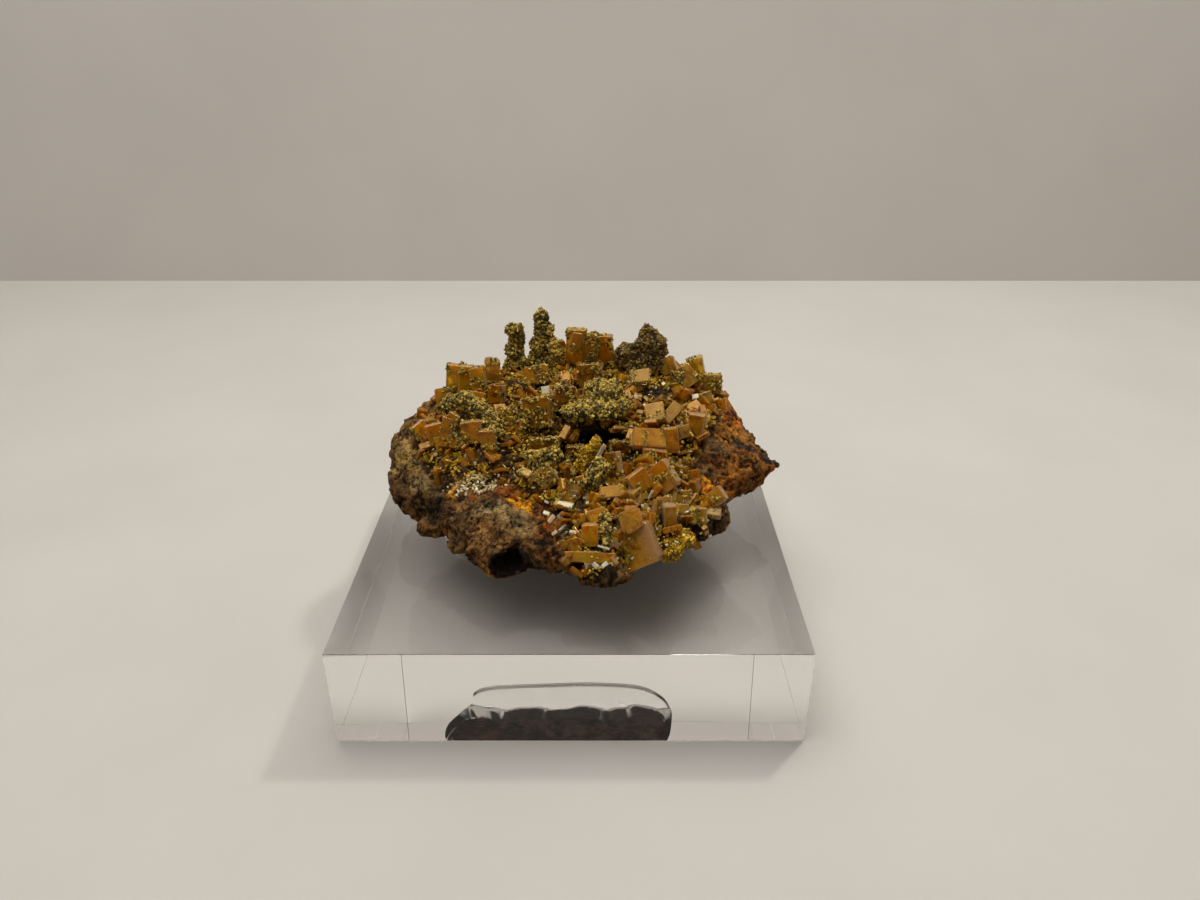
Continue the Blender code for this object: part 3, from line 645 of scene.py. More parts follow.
def card(name, corners, material):
    """A flat sheet between four corners."""
    mesh = bpy.data.meshes.new(name)
    mesh.from_pydata([Vector(c) * MM for c in corners], [], [(0, 1, 2, 3)])
    return put(name, mesh, material)


def floor_card():
    left, right, front = -CARD_REACH, CARD_REACH, -CARD_REACH
    ends = ((left, front), (right, front), (right, WALL_Y), (left, WALL_Y))
    pale = card_material("pale_floor_card", rgb(194, 190, 183), 0.7, 30.0)
    return card("floor", [(x, y, FLOOR_Z) for x, y in ends], pale)


def wall_card():
    left, right = -CARD_REACH, CARD_REACH
    ends = ((left, FLOOR_Z), (right, FLOOR_Z), (right, WALL_TOP), (left, WALL_TOP))
    pale = card_material("pale_wall_card", rgb(218, 212, 205), 0.9, 40.0)
    return card("wall", [(x, WALL_Y, z) for x, z in ends], pale)


def soft_light(name, place, aim, size, watts, colour):
    """A light that hangs at a place, looks at its aim and has two sides, in millimetres."""
    data = bpy.data.lights.new(name, "AREA")
    data.shape = "RECTANGLE"
    data.size = size[0] * MM
    data.size_y = size[1] * MM
    data.energy = watts
    data.color = colour
    lamp = bpy.data.objects.new(name, data)
    lamp.location = Vector(place) * MM
    lamp.rotation_euler = (Vector(aim) - Vector(place)).to_track_quat("-Z", "Y").to_euler()
    bpy.context.scene.collection.objects.link(lamp)


def studio():
    """A dim room, two lights overhead and the camera, which looks down at the front."""
    scene = bpy.context.scene
    scene.view_settings.view_transform = "Standard"
    world = bpy.data.worlds.new("studio")
    world.use_nodes = True
    back = world.node_tree.nodes["Background"]
    back.inputs["Color"].default_value = (1.0, 0.975, 0.94, 1)
    back.inputs["Strength"].default_value = 0.2
    scene.world = world
    soft_light("overhead", (-40, 30, 420), (0, 0, 0), (420, 300), 1.75, (1.0, 0.98, 0.95))
    soft_light("small_lamp", (150, 120, 330), (0, 0, 20), (30, 30), 0.35, (1.0, 0.97, 0.92))
    camera = bpy.data.objects.new("camera", bpy.data.cameras.new("camera"))
    camera.location = (0.0032, -0.0971, 0.0727)
    camera.rotation_euler = (math.radians(90 - 27.3), 0, 0)
    camera.data.sensor_width = 36
    camera.data.lens = 26.7
    camera.data.clip_start = 0.005
    scene.collection.objects.link(camera)
    scene.camera = camera


# Crystals


def surface_of(obj):
    """An object's surface, to drop crystals on."""
    return BVHTree.FromObject(obj, bpy.context.evaluated_depsgraph_get())


def height_over(x, y, surface):
    """Height in millimetres of a surface's top over a place in plan."""
    hit = surface.ray_cast(Vector((x, y, 60.0)) * MM, Vector((0, 0, -1)))[0]
    if hit is None:
        raise ValueError(f"nothing to stand on at {x}, {y}")
    return hit.z / MM


def facing(place, bearing, lift, turn):
    """Turns a tablet's +Z to its bearing and lift, with its +Y upwards, and puts it in place."""
    bearing, lift = math.radians(bearing), math.radians(lift)
    level = math.cos(lift)
    face = Vector((math.cos(bearing) * level, math.sin(bearing) * level, math.sin(lift)))
    side = Vector((0, 0, 1)).cross(face).normalized()
    turned = Matrix((side, face.cross(side), face)).transposed().to_4x4()
    return Matrix.Translation(Vector(place)) @ turned @ Matrix.Rotation(math.radians(turn), 4, "Z")


# Corners of a square, counterclockwise, and the widest bevel of a tablet.
CORNERS = ((-1, -1), (1, -1), (1, 1), (-1, 1))
WIDEST_BEVEL = 0.09


class Crystals:
    """Gathers tablets in one mesh. Its points know how near the rim they are, their place and their tone."""

    def __init__(self, seed):
        self.draw = random.Random(seed)
        self.bm = bmesh.new()
        self.rim = self.bm.verts.layers.float.new("rim")
        self.tone = self.bm.verts.layers.float.new("tone")
        self.local = self.bm.verts.layers.float_vector.new("local")

    def slab(self, width, height, thick, matrix, tone, rim_frost_and_highlight=1.0, milky=0.0):
        """A square tablet with fine bevels, nicked corners and a frame round both faces.

        The rim paleness is how pale its rims are, partly frost and partly a painted edge highlight, and milky
        how pale its +X side is.
        """
        draw = self.draw
        edge = min(WIDEST_BEVEL, 0.14 * min(width, height, thick))
        border = draw.uniform(0.12, 0.2) * min(width, height)
        cuts = [draw.uniform(0.02, 0.1) * min(width, height) for _ in CORNERS]
        lean = [(draw.gauss(0, 0.02) * width, draw.gauss(0, 0.02) * height) for _ in CORNERS]
        shift = Vector([draw.uniform(-40, 40) for _ in range(3)])
        levels = (
            (-thick / 2, border, 0.0),
            (-thick / 2, edge, 0.6),
            (-thick / 2 + edge, 0.0, 1.0),
            (thick / 2 - edge, 0.0, 1.0),
            (thick / 2, edge, 0.6),
            (thick / 2, border, 0.0),
        )
        loops = []
        for z, inset, near in levels:
            loop = []
            for k, (sx, sy) in enumerate(CORNERS):
                x = sx * (width / 2 - inset) + lean[k][0]
                y = sy * (height / 2 - inset) + lean[k][1]
                ends = [(x, y - sy * cuts[k]), (x - sx * cuts[k], y)]
                for px, py in ends if sx * sy > 0 else reversed(ends):
                    point = Vector((px, py, z))
                    v = self.bm.verts.new((matrix @ point) * MM)
                    v[self.rim] = max(near * rim_frost_and_highlight, milky * smooth(-0.1, 0.5, px / width))
                    v[self.tone] = tone
                    v[self.local] = point + shift
                    loop.append(v)
            loops.append(loop)
        self.bm.faces.new(reversed(loops[0]))
        self.bm.faces.new(loops[-1])
        wall(self.bm, loops)

    def grown(self, width, height, thick, matrix, tone, growths, milky):
        """A tablet with thinner ones grown on it, nearly parallel."""
        draw = self.draw
        self.slab(width, height, thick, matrix, tone, milky=milky)
        for _ in range(growths):
            side = draw.choice((-1, 1))
            w = width * draw.uniform(0.4, 0.85)
            h = height * draw.uniform(0.4, 0.85)
            t = thick * draw.uniform(0.35, 0.6)
            x = draw.uniform(-0.34, 0.34) * width
            y = draw.uniform(-0.34, 0.34) * height
            z = side * thick * draw.uniform(0.15, 0.52)
            tilt = Matrix.Rotation(draw.gauss(0, 0.05), 4, "X")
            turn = Matrix.Rotation(draw.gauss(0, 0.12), 4, "Z")
            own = min(1, max(0, tone + draw.gauss(0, 0.15)))
            self.slab(w, h, t, matrix @ Matrix.Translation((x, y, z)) @ (tilt @ turn), own, milky=milky)


def wall(bm, loops):
    """Faces between closed loops of points, from the lowest loop to the highest."""
    count = len(loops[0])
    for lower, upper in zip(loops, loops[1:]):
        for k in range(count):
            after = (k + 1) % count
            bm.faces.new((lower[k], lower[after], upper[after], upper[k]))


# Large tablets of each group: x, y, rise of the middle above the plate, width, height, thickness, bearing of
# the square face, its lift above level, its turn in its own plane, its tone and the tablets grown on it.
TABLETS = {
    "front": (
        (7.2, -14.8, 0.2, 5.2, 4.6, 2.2, -114, 24, 36, 0.6, 1),
        (6.6, -14.2, 2.4, 2.4, 2.0, 1.6, -96, 42, 20, 0.4, 2),
        (8.6, -14.4, -0.4, 2.5, 2.2, 1.2, -70, 18, 20, 0.7, 1),
        (2.6, -16.3, 1.2, 4.6, 1.2, 1.3, -90, 34, -3, 0.6, 1),
        (2.1, -14.3, 0.9, 1.8, 2.6, 0.9, -96, 18, 4, 0.7, 0),
        (2.9, -12.0, 0.9, 2.1, 1.6, 1.2, -78, 44, 10, 0.7, 1),
        (4.6, -16.4, 0.8, 1.5, 1.2, 0.6, -60, 50, 25, 0.5, 1),
    ),
    "right_edge": (
        (14.3, -10.9, 0.9, 1.9, 1.8, 1.7, -86, 24, 0, 0.8, 0),
        (16.2, -9.3, 1.1, 1.8, 3.1, 1.0, -122, 24, -38, 0.6, 0),
        (15.7, -10.2, 0.5, 2.7, 1.1, 1.0, -90, 60, -8, 0.5, 1),
        (12.4, -10.5, 0.6, 1.7, 1.3, 0.9, -90, 34, 2, 0.8, 0),
        (12.8, -8.5, 0.7, 1.9, 1.4, 1.2, -92, 30, 5, 0.4, 1),
        (10.9, -12.8, 1.1, 1.5, 2.4, 1.2, -80, 6, 2, 0.5, 0),
        (10.4, -11.1, 0.9, 2.0, 2.0, 1.4, -100, 30, 28, 0.3, 1),
    ),
    "centre_right": (
        (10.4, -7.2, 1.4, 3.4, 3.4, 1.2, -122, 16, -38, 0.6, 1),
        (7.7, -8.2, 1.0, 2.6, 2.3, 1.2, -64, 26, 20, 0.5, 1),
        (4.8, -5.0, 1.4, 2.4, 2.7, 0.9, -142, 10, 30, 0.5, 0),
        (4.6, -9.3, 0.6, 2.9, 1.4, 1.0, -90, 50, 4, 0.7, 0),
        (9.1, -2.0, 1.7, 3.8, 2.4, 1.3, -72, 54, -12, 0.6, 1),
        (9.6, -3.6, 1.1, 3.0, 1.9, 1.2, -86, 10, -9, 0.3, 1),
        (11.8, -1.6, 1.9, 1.6, 3.2, 0.8, -76, 10, 3, 0.6, 0),
    ),
    "right_shoulder": (
        (10.0, 3.2, 1.7, 2.4, 2.4, 1.2, -100, 44, 15, 0.9, 0),
        (12.1, 4.2, 1.5, 3.1, 1.5, 1.2, -68, 50, 36, 0.8, 1),
        (15.1, 1.6, 1.6, 1.9, 2.5, 1.1, -112, 8, 0, 0.5, 0),
        (13.6, 0.9, 1.0, 1.4, 1.6, 1.0, -80, 30, 12, 0.4, 1),
    ),
    "right_back": (
        (8.4, 9.6, 1.6, 2.5, 1.8, 1.2, -96, 44, 12, 0.8, 0),
        (14.4, 10.8, 2.0, 2.5, 2.8, 1.1, -80, 30, 28, 0.6, 1),
        (16.0, 12.4, 3.0, 2.1, 3.4, 1.3, -100, 8, 14, 0.7, 1),
        (18.1, 12.0, 2.0, 2.4, 2.6, 1.3, -90, 14, 4, 0.2, 1),
        (12.2, 12.4, 1.6, 2.2, 2.2, 1.0, -110, 24, 35, 0.5, 1),
        (17.0, 9.2, 1.2, 1.6, 1.6, 1.2, -70, 30, 10, 0.3, 0),
    ),
    "centre_left": (
        (-3.1, -6.9, 1.3, 2.3, 2.3, 0.9, -96, 28, 44, 0.4, 0),
        (-5.6, -5.6, 1.0, 1.7, 0.9, 0.6, -90, 60, -30, 0.9, 0),
        (-0.3, -5.1, 1.2, 0.7, 2.0, 0.5, -84, 20, 22, 0.9, 0),
        (-0.4, -8.0, 0.9, 2.4, 1.6, 0.7, -88, 36, 20, 0.6, 2),
        (-0.9, -9.5, 0.8, 2.1, 0.9, 0.5, -88, 62, -18, 1.0, 1),
    ),
    "centre": (
        (-4.4, 2.0, 2.0, 3.4, 3.6, 1.3, -102, 18, 8, 0.25, 1),
        (-8.0, 2.2, 1.3, 2.2, 2.1, 1.0, -84, 24, 12, 0.8, 0),
        (-3.4, -1.8, 1.5, 3.4, 2.2, 1.6, -90, 18, 2, 0.2, 1),
        (-1.2, 4.0, 1.9, 2.6, 3.2, 1.4, -80, 14, -6, 0.25, 1),
        (-6.3, 0.2, 1.4, 0.8, 2.4, 0.5, -60, 8, -18, 0.9, 0),
        (0.3, -1.3, -0.4, 2.2, 3.2, 1.0, -100, 10, 6, 0.2, 0),
        (5.6, -1.5, -0.5, 2.4, 3.0, 1.0, -76, 12, -8, 0.2, 0),
    ),
    "left": (
        (-15.2, 0.1, 1.9, 1.8, 3.3, 1.0, -112, 12, -8, 0.5, 1),
        (-17.0, 1.0, 1.5, 2.1, 2.7, 1.0, -70, 14, 10, 0.6, 0),
        (-12.2, -0.9, 1.7, 2.3, 2.8, 1.0, -100, 8, 8, 0.4, 0),
        (-18.9, 1.8, 1.1, 2.0, 2.3, 1.0, -60, 24, 30, 0.7, 0),
        (-10.2, -1.4, 1.5, 1.8, 2.7, 1.0, -94, 6, 5, 0.5, 1),
        (-13.8, -1.0, 0.8, 2.2, 1.9, 1.0, -84, 24, -16, 0.3, 1),
        (-16.0, 0.0, 0.7, 1.9, 1.9, 0.9, -100, 30, 24, 0.6, 1),
    ),
    "left_back": (
        (-15.7, 10.0, 2.2, 2.0, 3.7, 1.1, -100, 8, -6, 1.0, 0),
        (-14.0, 8.9, 2.0, 2.0, 3.5, 1.1, -84, 10, -4, 0.9, 1),
        (-12.2, 8.0, 1.8, 2.0, 3.7, 1.2, -100, 12, 11, 1.0, 0),
        (-10.7, 9.2, 2.0, 1.9, 3.7, 1.1, -80, 6, -9, 0.6, 1),
        (-15.0, 6.7, 1.1, 2.7, 1.9, 1.2, -95, 34, 6, 0.8, 1),
        (-9.9, 6.6, 1.3, 2.2, 2.4, 1.1, -112, 16, 6, 0.4, 1),
        (-14.8, 10.8, 1.5, 2.6, 2.9, 1.2, -76, 22, 16, 0.8, 1),
        (-12.9, 10.2, 1.3, 2.8, 2.7, 1.2, -104, 18, -14, 0.7, 1),
        (-17.0, 8.8, 1.0, 2.2, 2.4, 1.1, -116, 26, 22, 0.6, 0),
        (-12.6, 6.4, 0.9, 2.4, 1.9, 1.2, -80, 28, -10, 0.8, 1),
    ),
    "back": (
        (-5.0, 8.9, 1.7, 3.1, 2.3, 1.4, -90, 34, 10, 0.7, 1),
        (-1.2, 7.6, 1.6, 1.4, 2.4, 0.8, -92, 50, 4, 0.9, 0),
        (0.0, 13.2, 2.9, 2.4, 4.6, 1.4, -96, 6, -5, 0.6, 1),
        (2.0, 13.5, 2.5, 2.4, 3.6, 1.4, -78, 8, 6, 0.5, 1),
        (3.9, 13.2, 2.6, 2.0, 3.9, 1.2, -100, 4, 3, 0.5, 1),
        (-2.2, 13.6, 2.2, 2.3, 3.0, 1.2, -68, 18, 14, 0.3, 1),
        (2.0, 8.0, 1.9, 3.0, 2.8, 1.4, -96, 16, 8, 0.3, 1),
    ),
}
# Each group's material, slot, and how much of its tablets the mimetite leaves bare.
GROUP_LOOKS = {
    "front": (ORANGE, "wulfenite_orange", 0.62),
    "right_edge": (TAN, "wulfenite_tan", 0.6),
    "centre_right": (ORANGE, "wulfenite_orange", 0.6),
    "right_shoulder": (TAN, "wulfenite_tan", 0.66),
    "right_back": (TAN, "wulfenite_tan", 0.54),
    "centre_left": (TAN, "wulfenite_tan", 0.56),
    "centre": (AMBER, "wulfenite_amber", 0.47),
    "left": (ORANGE, "wulfenite_orange", 0.55),
    "left_back": (ORANGE, "wulfenite_orange", 0.56),
    "back": (AMBER, "wulfenite_amber", 0.48),
}
# Large tablets that are milky on one side, by group and number, and how milky.
MILKY = {("front", 0): 1.0, ("front", 1): 0.6, ("centre_right", 0): 0.8, ("right_edge", 0): 0.8}
# Places in plan where the mimetite leaves the tablets clean, with their radii.
CLEAN = (
    (7.4, -15.4, 3.4),
    (2.6, -16.3, 2.8),
)


def coated(p, normal, index):
    """How much mimetite a tablet carries at a place."""
    return 0.1 if any(math.hypot(p.x - x, p.y - y) < radius for x, y, radius in CLEAN) else 1.0


def group_piece(name, plate, grains):
    """One group: its large tablets on the plate, and the mimetite grains that coat them."""
    look, _, bare = GROUP_LOOKS[name]
    crystals = Crystals(f"{SEED}{name}")
    for number, row in enumerate(TABLETS[name]):
        x, y, rise, width, height, thick, bearing, lift, turn, tone, growths = row
        matrix = facing((x, y, height_over(x, y, plate) + rise), bearing, lift, turn)
        crystals.grown(width, height, thick, matrix, tone, growths, MILKY.get((name, number), 0.0))
    tablets = put("tablets_" + name, ended(crystals.bm, "tablets_" + name), look)
    cover_host(tablets, coated)
    seed = SEED + len(name)
    coat = scatter(name + "_coat", tablets, grains, OLIVE, seed, 18.0, 0.15, (0.2, 0.42), bare=bare)
    return joined("tablets_" + name, [tablets, coat])


# Small white plates, partly pale crystals and partly painted glints where light flashes: x, y, rise, width,
# height, thickness, bearing, lift and turn.
PALE_PLATES_AND_GLINTS = (
    (-0.8, -9.8, 1.1, 2.2, 0.8, 0.5, -88, 62, -18),
    (-2.3, -11.3, 0.6, 1.3, 0.6, 0.35, -60, 30, 34),
    (-1.2, -10.9, 0.6, 0.7, 1.3, 0.3, -120, 20, -40),
    (-2.9, -10.5, 0.5, 0.6, 1.0, 0.3, -70, 70, 50),
    (-1.0, -12.1, 0.6, 1.4, 0.5, 0.4, -50, 10, 24),
    (-1.9, -12.7, 0.5, 0.5, 0.9, 0.3, -130, 44, -30),
    (0.2, -13.9, 1.0, 1.0, 0.5, 0.4, -90, 50, -14),
    (-5.6, -5.6, 1.2, 1.6, 0.8, 0.5, -90, 60, -34),
    (-0.3, -5.1, 1.2, 0.5, 2.0, 0.4, -84, 20, 22),
    (2.9, -4.6, 3.6, 0.6, 4.4, 0.5, -84, 12, -32),
    (-3.7, 6.7, 1.3, 1.3, 1.6, 0.6, -90, 40, 6),
    (-1.0, 6.2, 1.5, 1.0, 1.9, 0.6, -96, 30, -12),
    (-6.3, 0.2, 1.6, 0.6, 2.3, 0.4, -60, 8, -18),
    (3.6, -16.2, 2.3, 1.7, 0.3, 0.3, -90, 40, -16),
    # A pale plate where light glints: a painted glint.
    (6.4, -2.6, 1.4, 0.9, 0.8, 0.5, -80, 50, 30),
    (1.9, -16.9, 0.5, 1.0, 0.7, 0.4, -90, 40, 10),
    (2.7, -17.4, 0.5, 0.9, 0.7, 0.4, -110, 30, -30),
    (3.7, -17.5, 0.5, 1.0, 0.6, 0.4, -70, 50, 24),
    (1.3, -16.2, 0.5, 0.8, 0.6, 0.3, -80, 60, -40),
    (4.7, -17.2, 0.5, 0.9, 0.6, 0.35, -60, 40, 12),
    (13.4, -9.0, 1.0, 1.2, 0.7, 0.4, -80, 60, 12),
    (11.2, -10.2, 1.2, 0.5, 1.4, 0.3, -100, 20, 30),
    (7.0, -10.0, 0.9, 0.8, 0.7, 0.5, -90, 40, 10),
    (9.0, -9.2, 0.9, 0.4, 1.5, 0.3, -70, 10, -34),
    (8.0, 6.4, 1.6, 1.2, 1.0, 0.6, -90, 40, 0),
    (15.6, 9.0, 1.4, 1.1, 0.9, 0.5, -100, 50, 20),
)
# The shares of those rises and sizes that the plates are made with.
PLATE_RISE = 0.6
PLATE_SIZE = (0.8, 0.75, 0.7)


def white_plates(ground):
    crystals = Crystals(SEED + 5)
    for x, y, rise, width, height, thick, bearing, lift, turn in PALE_PLATES_AND_GLINTS:
        matrix = facing((x, y, height_over(x, y, ground) + PLATE_RISE * rise), bearing, lift, turn)
        sizes = [size * share for size, share in zip((width, height, thick), PLATE_SIZE)]
        crystals.slab(*sizes, matrix, 0.5)
    return put("white_plates", ended(crystals.bm, "white_plates"), WHITE)


# Scattering


def shapes(name, meshes):
    """Small shapes to scatter, in a collection of their own that isn't shown itself."""
    made = bpy.data.collections.new(name)
    for k, mesh in enumerate(meshes):
        made.objects.link(bpy.data.objects.new(f"{name}_{k}", mesh))
    return made


# Small tablets, about a millimetre across: width, height and thickness.
CHIP_SIZES = (
    (1.0, 1.0, 0.35),
    (1.1, 0.8, 0.25),
    (0.9, 0.9, 0.5),
    (0.5, 1.3, 0.25),
    (1.3, 0.6, 0.3),
    (0.8, 1.1, 0.4),
)
# Stubby grains about a millimetre long: sides, radius of the head and length. Their feet have one radius.
GRAIN_SIZES = ((5, 0.3, 1.2), (6, 0.36, 0.8), (4, 0.22, 1.4), (5, 0.4, 0.7), (6, 0.2, 1.1))
GRAIN_FOOT = 0.4


def chip_meshes():
    made = []
    upright = Matrix.Rotation(math.radians(90), 4, "X")
    for k, (width, height, thick) in enumerate(CHIP_SIZES):
        crystals = Crystals(f"{SEED}{k}")
        crystals.slab(width, height, thick, upright, 0.5, rim_frost_and_highlight=0.4)
        made.append(ended(crystals.bm, "chip"))
    return made


def grain_meshes():
    made = []
    for k, (sides, head, length) in enumerate(GRAIN_SIZES):
        bm = bmesh.new()
        radii = {"radius1": GRAIN_FOOT * MM, "radius2": head * MM}
        bmesh.ops.create_cone(bm, cap_ends=True, segments=sides, depth=length * MM, **radii)
        for v in bm.verts:
            v.co += noise.noise_vector(v.co * 900 + Vector((k * 5.0, 1.0, 2.0))) * 0.22 * MM
        made.append(ended(bm, "grain"))
    return made


SCATTER_INPUTS = {
    "Geometry": "NodeSocketGeometry",
    "Shapes": "NodeSocketCollection",
    "Density": "NodeSocketFloat",
    "Apart": "NodeSocketFloat",
    "Smallest": "NodeSocketFloat",
    "Largest": "NodeSocketFloat",
    "Lean": "NodeSocketFloat",
    "Sink": "NodeSocketFloat",
    "Bare": "NodeSocketFloat",
    "Seed": "NodeSocketInt",
}
# Size of the patches that stay bare, in millimetres, and what keeps the sizes' draws apart from the others.
BARE_PATCH = 1.6
SIZE_SEED = 17


def random_value(tree, kind, low, high, seed):
    given = {"Min": low, "Max": high, "Seed": seed}
    return add(tree, "FunctionNodeRandomValue", given, data_type=kind).outputs["Value"]


def chosen_points(tree, given):
    """Points on the host where its cover allows, apart from each other and not on the bare patches."""
    covered = add(tree, "GeometryNodeInputNamedAttribute", {"Name": "cover"}, data_type="FLOAT")
    spread = {
        "Mesh": given["Geometry"],
        "Distance Min": given["Apart"],
        "Density Max": given["Density"],
        "Density Factor": covered.outputs["Attribute"],
        "Seed": given["Seed"],
    }
    points = add(tree, "GeometryNodeDistributePointsOnFaces", spread, distribute_method="POISSON")
    patches = add(tree, "ShaderNodeTexNoise", {"Scale": 1 / (BARE_PATCH * MM), "Detail": 1.0})
    sides = {"A": patches.outputs["Fac"], "B": given["Bare"]}
    bared = add(tree, "FunctionNodeCompare", sides, data_type="FLOAT", operation="LESS_THAN")
    thinned = add(
        tree,
        "GeometryNodeDeleteGeometry",
        {"Geometry": points.outputs["Points"], "Selection": bared.outputs["Result"]},
        domain="POINT",
    )
    down = {"Vector": points.outputs["Normal"], "Scale": calc(tree, "MULTIPLY", given["Sink"], -1.0)}
    sunk = add(tree, "ShaderNodeVectorMath", down, operation="SCALE")
    lowered = {"Geometry": thinned.outputs["Geometry"], "Offset": sunk.outputs["Vector"]}
    return add(tree, "GeometryNodeSetPosition", lowered).outputs["Geometry"], points.outputs["Rotation"]


def leaned_rotation(tree, given, rotation):
    """The face's own direction, leaned by up to the given angle and turned freely."""
    back = calc(tree, "MULTIPLY", given["Lean"], -1.0)
    low = add(tree, "ShaderNodeCombineXYZ", {"X": back, "Y": back, "Z": 0.0})
    high = add(tree, "ShaderNodeCombineXYZ", {"X": given["Lean"], "Y": given["Lean"], "Z": math.tau})
    angles = random_value(tree, "FLOAT_VECTOR", low.outputs[0], high.outputs[0], given["Seed"])
    turned = add(tree, "FunctionNodeEulerToRotation", {"Euler": angles})
    both = {"Rotation": rotation, "Rotate By": turned.outputs["Rotation"]}
    return add(tree, "FunctionNodeRotateRotation", both, rotation_space="LOCAL").outputs["Rotation"]


def scatter_tree(name, material):
    """A tree that scatters shapes over a host, and the identifiers of its named inputs."""
    tree = bpy.data.node_groups.new(name, "GeometryNodeTree")
    identifiers = {}
    for label, kind in SCATTER_INPUTS.items():
        identifiers[label] = tree.interface.new_socket(label, in_out="INPUT", socket_type=kind).identifier
    tree.interface.new_socket("Geometry", in_out="OUTPUT", socket_type="NodeSocketGeometry")
    given = add(tree, "NodeGroupInput").outputs
    points, rotation = chosen_points(tree, given)
    chosen = random_value(tree, "INT", 0, 1000, given["Seed"])
    size_seed = calc(tree, "ADD", given["Seed"], SIZE_SEED)
    picked = {"Collection": given["Shapes"], "Separate Children": True}
    shown = add(tree, "GeometryNodeCollectionInfo", picked)
    placed = add(
        tree,
        "GeometryNodeInstanceOnPoints",
        {
            "Points": points,
            "Instance": shown.outputs["Instances"],
            "Pick Instance": True,
            "Instance Index": chosen,
            "Rotation": leaned_rotation(tree, given, rotation),
            "Scale": random_value(tree, "FLOAT", given["Smallest"], given["Largest"], size_seed),
        },
    )
    toned = add(tree, "FunctionNodeRandomValue", {"Seed": chosen}, data_type="FLOAT")
    tones = {"Geometry": placed.outputs["Instances"], "Name": "tone", "Value": toned.outputs["Value"]}
    stored = add(tree, "GeometryNodeStoreNamedAttribute", tones, data_type="FLOAT", domain="INSTANCE")
    real = add(tree, "GeometryNodeRealizeInstances", {"Geometry": stored.outputs["Geometry"]})
    finish = {"Geometry": real.outputs["Geometry"], "Material": material}
    coloured = add(tree, "GeometryNodeSetMaterial", finish)
    add(tree, "NodeGroupOutput", {"Geometry": coloured.outputs["Geometry"]})
    return tree, identifiers


def scatter(name, host, sources, material, seed, density, apart, sizes, lean=75, sink=0.0, bare=0.0):
    """Scatters shapes over the host where its cover allows, and returns them as one plain mesh object.

    Density is per square millimetre. Apart is the least distance between two and sink how deep they sit, both
    in millimetres. Sizes are the smallest and the largest scale. Lean is the widest lean in degrees. Bare is
    how much of the host patches of noise leave bare: 0.5 is about half.
    """
    tree, identifiers = scatter_tree(name, material)
    work = put("work", host.data.copy())
    step = work.modifiers.new("scatter", "NODES")
    step.node_group = tree
    for label, value in {
        "Shapes": sources,
        "Density": density * 1e6,
        "Apart": apart * MM,
        "Smallest": sizes[0],
        "Largest": sizes[1],
        "Lean": math.radians(lean),
        "Sink": sink * MM,
        "Bare": bare,
        "Seed": seed,
    }.items():
        step[identifiers[label]] = value
    mesh = evaluated_mesh(work)
    bpy.data.objects.remove(work)
    mesh.name = name
    return put(name, mesh)


def cover_host(host, rule):
    """Writes on the host how much of each place is covered.

    The rule takes a point's place in millimetres, its normal and its number.
    """
    mesh = host.data
    values = np.array([rule(v.co / MM, v.normal, v.index) for v in mesh.vertices], dtype=np.float32)
    if "cover" not in mesh.attributes:
        mesh.attributes.new("cover", "FLOAT", "POINT")
    mesh.attributes["cover"].data.foreach_set("value", values)


def joined(name, parts):
    """Objects as one mesh object, with their materials and attributes."""
    with bpy.context.temp_override(active_object=parts[0], selected_editable_objects=parts):
        bpy.ops.object.join()
    parts[0].name = name
    return parts[0]


# Mimetite

